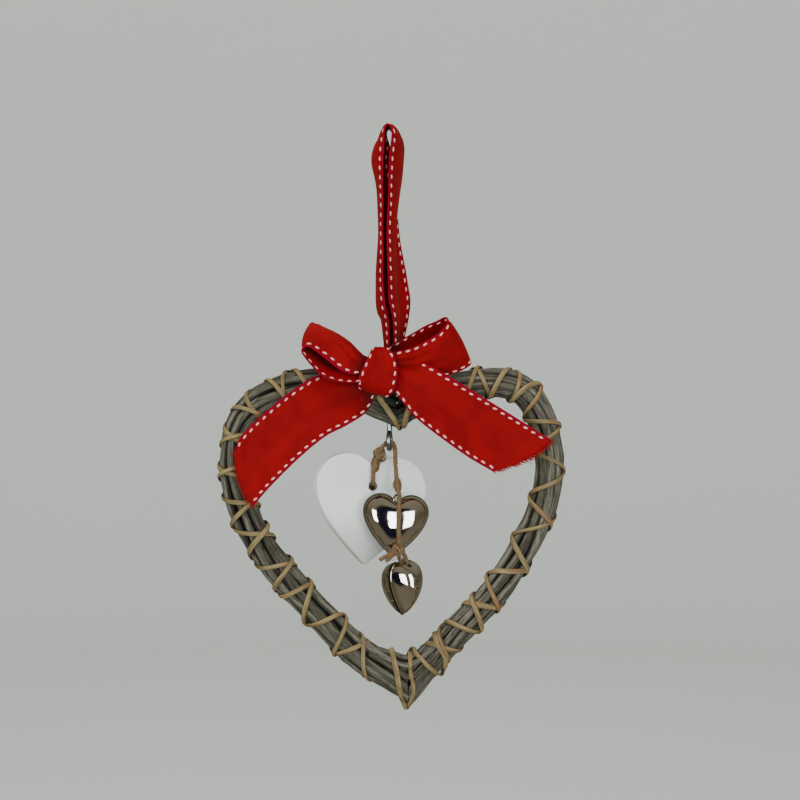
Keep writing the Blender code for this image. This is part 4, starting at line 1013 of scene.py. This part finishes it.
class Ribbon:  # a ribbon between two edge lines, bowed across, with its stitches
    def __init__(self, edgeA, edgeB, bulge, seed, pleats=(), paintedShadeAtEnds=(), endCurve=0.0, sway=(0.0, 0.0, 1.0)):
        s = ribbonSettings
        self.paintedShadeAtEnds = paintedShadeAtEnds
        dense = smoothLine(np.hstack([edgeA, edgeB, np.array(bulge)[:, None]]), 20)
        way = wayAlong((dense[:, :3] + dense[:, 3:6]) / 2)
        want = np.linspace(0.0, way[-1], max(8, int(round(way[-1] / s["step"])) + 1))
        dense = readAt(want, way, dense)
        a, b, bow = dense[:, :3], dense[:, 3:6], dense[:, 6]
        run = runOf((a + b) / 2)
        normal = unit(np.cross(b - a, run))
        share = 0.5 - 0.5 * np.cos(math.pi * np.linspace(0.0, 1.0, s["columns"] + 1))  # close at the edges
        self.share = share
        grid = a[:, None, :] * (1 - share)[:, None] + b[:, None, :] * share[:, None]
        grid = grid + normal[:, None, :] * (bow[:, None] * (1.0 - (2.0 * share - 1.0) ** 2))[..., None]
        ripple = [[noise.noise(Vector((w / 11.0, u * 2.2, seed * 5.3))) for u in share] for w in want]
        dent = s["ripple"] * np.array(ripple)
        along = want / want[-1]
        for shareA, shareB, wayA, wayB, depth in pleats:
            place = shareA + (shareB - shareA) * np.clip((along - wayA) / (wayB - wayA), 0.0, 1.0)
            fade = np.sin(math.pi * np.clip((along - wayA + 0.10) / (wayB - wayA + 0.12), 0.0, 1.0)) ** 0.8
            off = (share - place[:, None]) / 0.055
            crease = 0.5 * np.exp(-((np.abs(off) - 2.2) / 1.2) ** 2) - np.exp(-off ** 2)
            dent = dent + depth * fade[:, None] * crease
        swayed = sway[0] * np.sin(math.pi * np.clip((along - sway[1]) / (sway[2] - sway[1]), 0.0, 1.0))
        dent = dent - swayed[:, None] * np.sin(tau * share)
        grid = grid + normal[:, None, :] * dent[..., None]
        push = endCurve * np.clip((want - want[-1] + 12.0) / 12.0, 0.0, 1.0)
        grid = grid + run[:, None, :] * (push[:, None] * (4 * share * (1 - share)))[..., None]
        self.grid, self.way, self.seed = grid, want, seed
        self.along = unit(np.gradient(grid, axis=0))
        self.normal = unit(np.cross(unit(np.gradient(grid, axis=1)), self.along))

    def sample(self, row, share):  # a place on the ribbon, with its normal and the way it runs
        column = np.interp(share, self.share, np.arange(len(self.share)))
        i = int(min(max(row, 0.0), len(self.way) - 1.001))
        k = int(min(column, len(self.share) - 1.001))
        u, v = row - i, column - k
        return [(data[i, k] * (1 - v) + data[i, k + 1] * v) * (1 - u)
                + (data[i + 1, k] * (1 - v) + data[i + 1, k + 1] * v) * u
                for data in (self.grid, self.normal, self.along)]

    def skin(self, bundle):
        s = ribbonSettings
        x = (self.share - 0.5) * s["width"]
        edge = s["width"] / 2 - np.abs(x)
        thick = s["thickness"] / 2 * (1.0 + 0.7 * np.exp(-((edge - 0.45) / 0.35) ** 2))
        thick = thick * np.sqrt(np.clip(edge / 0.28, 0.12, 1.0))
        rise = self.normal * thick[:, None]
        ring = np.concatenate([self.grid + rise, (self.grid - rise)[:, ::-1]], axis=1)
        # painted shade near the ribbon's ends, where they go into the knot; 1 is unshaded
        light = np.ones(len(self.way))
        for end, (amount, reach) in zip((self.way, self.way[-1] - self.way), self.paintedShadeAtEnds):
            light = light - amount * np.exp(-(end / reach) ** 2)
        flow = flowOf(np.concatenate([x, x[::-1]]), np.concatenate([thick, -thick[::-1]]),
                      self.way[:, None] + self.seed * 40.0)
        bundle.add(ring, flow, np.repeat(light[:, None], ring.shape[1], axis=1))

    def stitches(self, bundle, inset):
        s = ribbonSettings
        draw = random.Random(self.seed)
        inset = inset / s["width"]
        for share, lean in ((inset, 1.0), (1.0 - inset, -1.0)):
            line = self.grid[:, int(round(np.interp(share, self.share, np.arange(len(self.share)))))]
            way = wayAlong(line)
            for face, first in ((1, 0.5), (-1, 1.0)):
                at = s["stitchPitch"] * first
                while at < way[-1] - 0.6:
                    point, normal, along = self.sample(np.interp(at, way, np.arange(len(way))), share)
                    self.stitch(bundle, point, normal * face, along, draw, lean)
                    at += s["stitchPitch"] * draw.uniform(0.96, 1.04)

    def stitch(self, bundle, point, normal, along, draw, lean):
        s = ribbonSettings
        across = np.cross(normal, along)
        across = across / max(np.linalg.norm(across), 1e-9)
        slant = math.radians(9.0 * lean + draw.uniform(-4, 4))
        run = along * math.cos(slant) + across * math.sin(slant)
        span = s["stitchLength"] * draw.uniform(0.93, 1.07)
        t = np.linspace(-1.0, 1.0, 9)
        fall = s["thickness"] / 2 + 0.10 - 0.42 * np.abs(t) ** 3
        line = point + run * (t * span / 2)[:, None] + normal * fall[:, None]
        radius = (s["stitchWidth"] / 2 * np.sqrt(np.clip(1.0 - np.abs(t) ** 2.6, 0.06, 1.0)))[:, None]
        turn = np.arange(8) * tau / 8
        grid = (line[:, None, :] + np.cross(normal, run) * (np.cos(turn) * radius)[..., None]
                + normal * (np.sin(turn) * radius * 0.62)[..., None])
        shift = float(point[0] * 3.1 + point[2] * 1.7) % 50.0  # so that no two stitches look the same
        bundle.add(grid, flowOf(np.cos(turn) + shift, np.sin(turn), (t * span / 2)[:, None]))


def dropRows(rows):
    s = ribbonSettings
    (footX, footZ), top, width = s["foot"], s["top"], s["width"]
    return [(x * width + footX * drop, y * width, top + (footZ - top) * drop) for x, y, drop in rows]


def fromKnot(rows):
    return np.array(ribbonSettings["knot"]) + np.array(rows) * ribbonSettings["width"]


def addFray(bundle, ribbon, seed):  # the cut end's loose threads
    draw = random.Random(seed)
    for _ in range(ribbonSettings["fray"]):
        share = draw.random()
        point, normal, along = ribbon.sample(len(ribbon.way) - 1.1, share)
        length = draw.uniform(0.5, 1.7) * (1.7 if draw.random() < 0.12 else 1.0)
        bend = np.array([draw.uniform(-0.35, 0.35) for _ in range(3)])
        start = point - along * 0.5 + normal * draw.uniform(-0.2, 0.2)
        hair = smoothLine([start, start + along * (0.5 + length * 0.5) + bend * length * 0.3,
                           start + along * (0.5 + length) + bend * length], 3)
        bundle.add(*tubeGrid(hair, draw.uniform(0.07, 0.13), 4))


def addHangingRibbon():
    s = ribbonSettings
    loop = Ribbon(dropRows(s["loopFront"]), dropRows(s["loopBack"]),
                  [-b * s["width"] for b in s["loopBulge"]], 1, paintedShadeAtEnds=((0.7, 11.0), (0.7, 11.0)),
                  sway=s["loopSway"])
    sideA, sideB, rise, way = s["strap"]
    strap = Ribbon([(sideA, y, z + rise) for y, z in way], [(sideB, y, z + rise) for y, z in way],
                   [rise] * len(way), 7)
    skin, marks = Bundle(), Bundle()
    loop.skin(skin)
    strap.skin(skin)
    loop.stitches(marks, s["stitchInset"])
    piece = skin.make("hangingRibbon", ribbonRed, "red_ribbon", "hanging_ribbon")
    stitches = marks.make("hangingRibbonStitches", stitchThread)


def addBow():
    s = ribbonSettings
    parts = [Ribbon(fromKnot(part["edgeA"]), fromKnot(part["edgeB"]), [b * s["width"] for b in part["bulge"]],
                    seed, part["pleats"], part["paintedShadeAtEnds"], part.get("endCurve", 0.0))
             for seed, part in enumerate(bowParts.values(), 2)]
    parts.append(Ribbon(seed=6, **knotPart))
    skin, marks, fray = Bundle(), Bundle(), Bundle()
    for part in parts:
        part.skin(skin)
        part.stitches(marks, s["knotInset"] if part is parts[-1] else s["stitchInset"])
    rightTail, leftTail = parts[2:4]
    addFray(fray, rightTail, 21)
    addFray(fray, leftTail, 22)
    loose = smoothLine([leftTail.grid[-1, -1] + row for row in s["looseThread"]], 6)
    fray.add(*tubeGrid(evenLine(loose, 0.3), 0.11, 5))
    threads = fray.make("bowFray", redThread, "red_ribbon")
    piece = skin.make("ribbonBow", ribbonRed, "red_ribbon", "bow")
    stitches = marks.make("bowStitches", stitchThread)


addHangingRibbon()
addBow()
print("ribbon tied")

# Screw eye
eyeSettings = {
    "middle": (0.6, 0.0, -134.8),
    "inner": 5.0,
    "wire": 2.1,
    "turn": math.radians(84.0),
    "shank": 6.0,
    "bent": (math.radians(98.0), math.radians(450.0)),  # where the wire's ring starts and ends
}


def ringLine(middle, radius, turn, start=0.0, end=tau, count=72):
    lean = np.linspace(start, end, count)
    flat = np.array([math.cos(turn), math.sin(turn), 0.0])
    return (np.asarray(middle)[None, :] + flat[None, :] * (np.cos(lean) * radius)[:, None]
            + np.array([0.0, 0.0, 1.0])[None, :] * (np.sin(lean) * radius)[:, None])


def addEye():
    s = eyeSettings
    radius = s["inner"] / 2 + s["wire"] / 2
    ring = ringLine(s["middle"], radius, s["turn"], *s["bent"])
    top = np.array(s["middle"]) + [0.0, 0.0, radius + s["shank"]]
    neck = [ring[-1], ring[-1] * 0.4 + (top - [0.0, 0.0, s["shank"]]) * 0.6 + [0.0, 0.0, 0.8],
            top - [0.0, 0.0, s["shank"] - 2.4], top]
    line = evenLine(np.vstack([ring[:-1], smoothLine(neck, 8)]), 0.3)
    bundle = Bundle()
    bundle.add(*tubeGrid(line, s["wire"] / 2, 14, start=(0.0, 1.0, 0.0)))
    bundle.make("screwEye", eyeWire, "wire", "screw_eye")


addEye()

# Wooden heart and bells
charmSettings = {
    "wood": {"width": 50.0, "height": 46.6, "lobe": 0.28, "spread": 0.22, "fullness": 0.26, "thickness": 6.0,
             "edge": 0.9, "hole": 3.0, "holeUp": 0.5, "place": (-7.7, 0.0, -155.0), "roll": 6.0,
             "turn": 22.0},
    "large": {"width": 28.0, "height": 27.0, "depth": 15.0, "place": (3.4, -8.15, -164.64), "roll": 4.0,
              "turn": 4.0, "loopTurn": 50.0, "rimShine": 0.0},
    "small": {"width": 22.0, "height": 23.0, "depth": 15.5, "place": (6.0, -8.15, -191.26), "roll": 0.0,
              "turn": 61.0, "loopTurn": 0.0, "rimShine": 1.0},
    "bell": {"lobe": 0.262, "spread": 0.238, "fullness": 0.30, "belly": 0.14, "roundness": 2.5, "levels": 16,
             "wire": 0.9, "loop": 3.4, "seam": 0.28},
}


def heartOutline(width, height, lobe, spread, fullness, count):
    radius, centre = lobe * width, spread * width
    notch = math.acos(-centre / radius)
    arcEnd = math.radians(-8.0)
    arc = notch + (arcEnd - notch) * np.linspace(0.0, 1.0, count * 3 // 5)
    curve = np.stack([centre + radius * np.cos(arc), radius * np.sin(arc)], axis=1)
    start, tip, run = curve[-1], np.array([0.0, radius - height]), fullness * height
    knee = start + np.array([run * math.sin(arcEnd), -run * math.cos(arcEnd)])
    t = np.linspace(0.0, 1.0, count * 2 // 5 + 1)[1:, None]
    side = (1 - t) ** 2 * start + 2 * t * (1 - t) * knee + t * t * tip
    points = np.vstack([curve, side])
    return np.vstack([points, points[-2:0:-1] * [-1.0, 1.0]])


def charmPlace(points, own):
    turn = (Matrix.Rotation(math.radians(own["turn"]), 3, "Z")
            @ Matrix.Rotation(math.radians(own["roll"]), 3, "Y"))
    return np.asarray(points) @ np.array(turn).T + np.array(own["place"])


def charmGrid(rows, own):  # a charm's rows of points, hung in its place, and its own places for the finish
    grid = np.array(rows)
    return charmPlace(grid.reshape(-1, 3), own).reshape(grid.shape), grid


def addWoodenHeart():
    own = charmSettings["wood"]
    outline = heartOutline(own["width"], own["height"], own["lobe"], own["spread"], own["fullness"], 90)
    half, edge = own["thickness"] / 2, own["edge"]
    run = unit(np.roll(outline, -1, axis=0) - np.roll(outline, 1, axis=0))
    inward = np.stack([run[:, 1], -run[:, 0]], axis=1)
    middle = outline.mean(axis=0)
    inward = inward * np.sign((inward * (middle - outline)).sum(axis=1))[:, None]
    rows = []
    for turn in np.linspace(-math.pi / 2, math.pi / 2, 14):
        y = math.copysign(half - edge, turn) + edge * math.sin(turn)
        ring = outline + inward * (edge * (1.0 - math.cos(turn)))
        rows.append(np.stack([ring[:, 0], np.full(len(ring), y), ring[:, 1]], axis=1))
    bundle, cutter = Bundle(), Bundle()
    bundle.add(*charmGrid(rows, own))
    heart = bundle.make("woodenHeart", whitePaint, "white_paint", "wooden_heart")
    hole = np.array([[0.0, y, own["holeUp"]] for y in np.linspace(-6.0, 6.0, 9)])
    tube, _ = tubeGrid(charmPlace(hole, own), own["hole"] / 2, 32, start=(0.0, 0.0, 1.0))
    cutter.add(tube)
    tool = cutter.make("holeTool", whitePaint)
    cut = heart.modifiers.new("hole", "BOOLEAN")
    cut.operation, cut.object, cut.solver = "DIFFERENCE", tool, "EXACT"
    done = bpy.data.meshes.new_from_object(heart.evaluated_get(bpy.context.evaluated_depsgraph_get()))
    heart.modifiers.clear()
    heart.data = done
    bpy.data.objects.remove(tool)
    done.shade_smooth()
    done.set_sharp_from_angle(angle=math.radians(40.0))
    heart.visible_glossy = False  # so that the bells don't mirror this white face


def addBell(size):
    own, s = charmSettings[size], charmSettings["bell"]
    outline = heartOutline(own["width"] - 0.6, own["height"] - 0.6, s["lobe"], s["spread"], s["fullness"], 80)
    bellyZ = -s["belly"] * own["height"]
    fromBelly = outline - [0.0, bellyZ]
    facing = np.unwrap(np.arctan2(fromBelly[:, 1], fromBelly[:, 0]))
    order = np.argsort(facing)
    turns = np.linspace(facing.min(), facing.min() + tau, 121)[:-1]
    reach = np.interp(turns, facing[order], np.linalg.norm(fromBelly, axis=1)[order], period=tau)
    wave = np.fft.rfft(reach)
    shrinks = 1.0 - np.cos(np.linspace(0.0, math.pi / 2, s["levels"]))
    rows = []
    for side, shrink in [(-1, k) for k in shrinks[-2::-1]] + [(1, k) for k in shrinks[1:-1]]:
        swell = math.sqrt(max(0.0, 1.0 - (1.0 - shrink) ** s["roundness"]))
        soft = np.exp(-(np.arange(len(wave)) * 0.9 * shrink ** 0.8) ** 2 / 2)
        wide = np.fft.irfft(wave * soft, len(reach)) * (1.0 - shrink)
        rows.append(np.stack([np.cos(turns) * wide, np.full(len(turns), side * own["depth"] / 2 * swell),
                              bellyZ + np.sin(turns) * wide], axis=1))
    body = Bundle()
    body.add(*charmGrid(rows, own))
    rim = np.stack([outline[:, 0], 0 * outline[:, 0], outline[:, 1]], axis=1)
    rim = np.vstack([rim, rim[:2]])
    for y, shine in ((-0.42, own["rimShine"]), (0.0, 0.0), (0.42, 0.0)):  # the crimped seam round the rim
        seam, flow = tubeGrid(charmPlace(rim + [0.0, y, 0.0], own), s["seam"], 10, start=(0.0, -1.0, 0.0))
        body.add(seam, flow * 0.0 + [0.0, shine * own["depth"], 0.0])
    notch = math.sqrt(s["lobe"] ** 2 - s["spread"] ** 2) * own["width"]
    middle = charmPlace(np.array([[0.0, 0.0, notch + s["loop"] / 2 + 0.2 * s["wire"]]]), own)[0]
    ring = ringLine(middle, s["loop"] / 2 + s["wire"] / 2, math.radians(own["turn"] + own["loopTurn"]))
    loop, flow = tubeGrid(ring, s["wire"] / 2, 12, start=(0.0, 1.0, 0.3))
    body.add(loop, flow + [0.0, own["depth"], 0.0])
    body.make(size + "Bell", silver, "silver_plate", size + "_bell")


addWoodenHeart()
addBell("large")
addBell("small")
print("charms hung")

# Floor, backdrop and lights, in metres
studioSettings = {
    "floor": -0.43,
    "reach": 2.1,  # the backdrop's distance from the middle
    "curve": 0.8,
    "wallTop": 1.9,
    "pale": (0.54, 0.565, 0.53),
    "worldColour": (0.05, 0.055, 0.075),
    # what the bells mirror: colours that change with height, and a dark patch in front
    "roomRadius": 2.6,
    "roomWalls": [(0.0, (0.20, 0.175, 0.125)), (0.30, (0.165, 0.142, 0.098)), (0.48, (0.105, 0.092, 0.066)),
                  (0.66, (0.20, 0.18, 0.132)), (1.0, (0.26, 0.24, 0.185))],
    "roomDark": (0.010, 0.011, 0.022),
    "darkPlace": (0.0, -2.5, -0.1),
    # name, place, size and power, and whether it lights the small bell alone or all but it
    "windows": [("windowLeft", (-1.12, -1.12, -0.12), (0.46, 0.80), 12.0, False),
                ("windowMiddle", (0.06, -1.6, -0.12), (0.36, 0.90), 11.0, False),
                ("windowRight", (0.80, -1.30, -0.16), (0.62, 1.00), 16.0, False),
                ("bellWindow", (1.04, -1.22, -0.12), (1.15, 1.35), 40.0, True),
                ("bellWindowRight", (1.60, -0.02, -0.12), (0.42, 0.95), 10.5, True)],
    "windowAim": (0.0, 0.0, -0.14),
    "windowColour": (0.96, 0.98, 1.0),
    # name, place, size, power, aim and colour of the lights that nothing mirrors
    "softLights": [("topLight", (-0.25, -0.7, 1.15), (1.3, 0.9), 19.0, (0.0, 0.0, -0.14), (1.0, 0.99, 0.96)),
                   ("backdropLight", (0.0, 0.5, 1.5), (2.4, 0.6), 26.0, (0.0, 1.6, -0.3), (1.0, 1.0, 1.0))],
}


def addStage(name, profile, sides, material, caps):  # radius and height, turned round the middle
    around = np.arange(sides) * tau / sides
    mesh = bpy.data.meshes.new(name)
    mesh.from_pydata([(r * math.cos(a), r * math.sin(a), z) for r, z in profile for a in around], [],
                     gridFaces(len(profile), sides, 0, caps))
    mesh.shade_smooth()
    mesh.materials.append(material)
    stage = bpy.data.objects.new(name, mesh)
    bpy.context.scene.collection.objects.link(stage)
    return stage


def addBackdrop():  # a round floor that curves up at its edge
    s = studioSettings
    profile = [(0.02, s["floor"]), (0.6, s["floor"]), (s["reach"] - s["curve"], s["floor"])]
    for k in range(1, 17):
        turn = k / 16 * math.pi / 2
        profile.append((s["reach"] - s["curve"] * (1.0 - math.sin(turn)),
                        s["floor"] + s["curve"] * (1.0 - math.cos(turn))))
    profile.append((s["reach"], s["wallTop"]))
    f = Finish("paleBackdrop", Base_Color=(*s["pale"], 1.0), Roughness=0.9, Specular_IOR_Level=0.1)
    addStage("backdrop", profile, 72, f.material, False).visible_glossy = False


def addReflectedRoom():  # what the bells mirror: it lights nothing and the camera doesn't see it
    s = studioSettings
    radius = s["roomRadius"]
    f = Finish("reflectedRoom")
    f.tree.nodes.remove(f.shader)
    place = f.node("TexCoord").outputs["Object"]
    height = f.node("SeparateXYZ", {"Vector": place}).outputs["Z"]
    share = f.node("MapRange", {"Value": height, "From Min": -radius, "From Max": radius}).outputs[0]
    front = f.node("VectorMath", {0: place, 1: s["darkPlace"]}, operation="DISTANCE").outputs["Value"]
    colour = f.mix(f.rise(front, 1.5, 2.1, (1.0, 0.0)), f.ramp(share, s["roomWalls"]), s["roomDark"])
    glow = f.node("Emission", {"Color": colour}).outputs[0]
    f.tree.links.new(glow, f.tree.nodes["Material Output"].inputs["Surface"])
    highs = -math.pi / 2 + math.pi * np.arange(1, 24) / 24
    profile = [(radius * math.cos(high), radius * math.sin(high)) for high in highs]
    room = addStage("reflectedRoom", profile, 48, f.material, True)
    room.visible_camera = room.visible_diffuse = room.visible_shadow = room.visible_transmission = False


def addAreaLight(name, place, size, power, aim, colour):
    data = bpy.data.lights.new(name, "AREA")
    data.shape = "RECTANGLE"
    data.size, data.size_y = size
    data.energy, data.color = power, colour
    light = bpy.data.objects.new(name, data)
    light.location = place
    light.rotation_euler = (Vector(aim) - Vector(place)).to_track_quat("-Z", "Y").to_euler()
    bpy.context.scene.collection.objects.link(light)
    return light


def linkTo(light, piece, lit):  # light that falls on this piece alone, or on all the others
    chosen = bpy.data.collections.new(light.name + "Pieces")
    chosen.objects.link(bpy.data.objects[piece])
    chosen.collection_objects[0].light_linking.link_state = "INCLUDE" if lit else "EXCLUDE"
    light.light_linking.receiver_collection = chosen


def addStudio():
    s = studioSettings
    world = bpy.data.worlds.new("studio")
    world.use_nodes = True
    world.node_tree.nodes["Background"].inputs["Color"].default_value = (*s["worldColour"], 1.0)
    bpy.context.scene.world = world
    addBackdrop()
    addReflectedRoom()
    for name, place, size, power, lit in s["windows"]:
        linkTo(addAreaLight(name, place, size, power, s["windowAim"], s["windowColour"]), "smallBell", lit)
    for settings in s["softLights"]:
        addAreaLight(*settings).visible_glossy = False


addStudio()
print("studio lit")
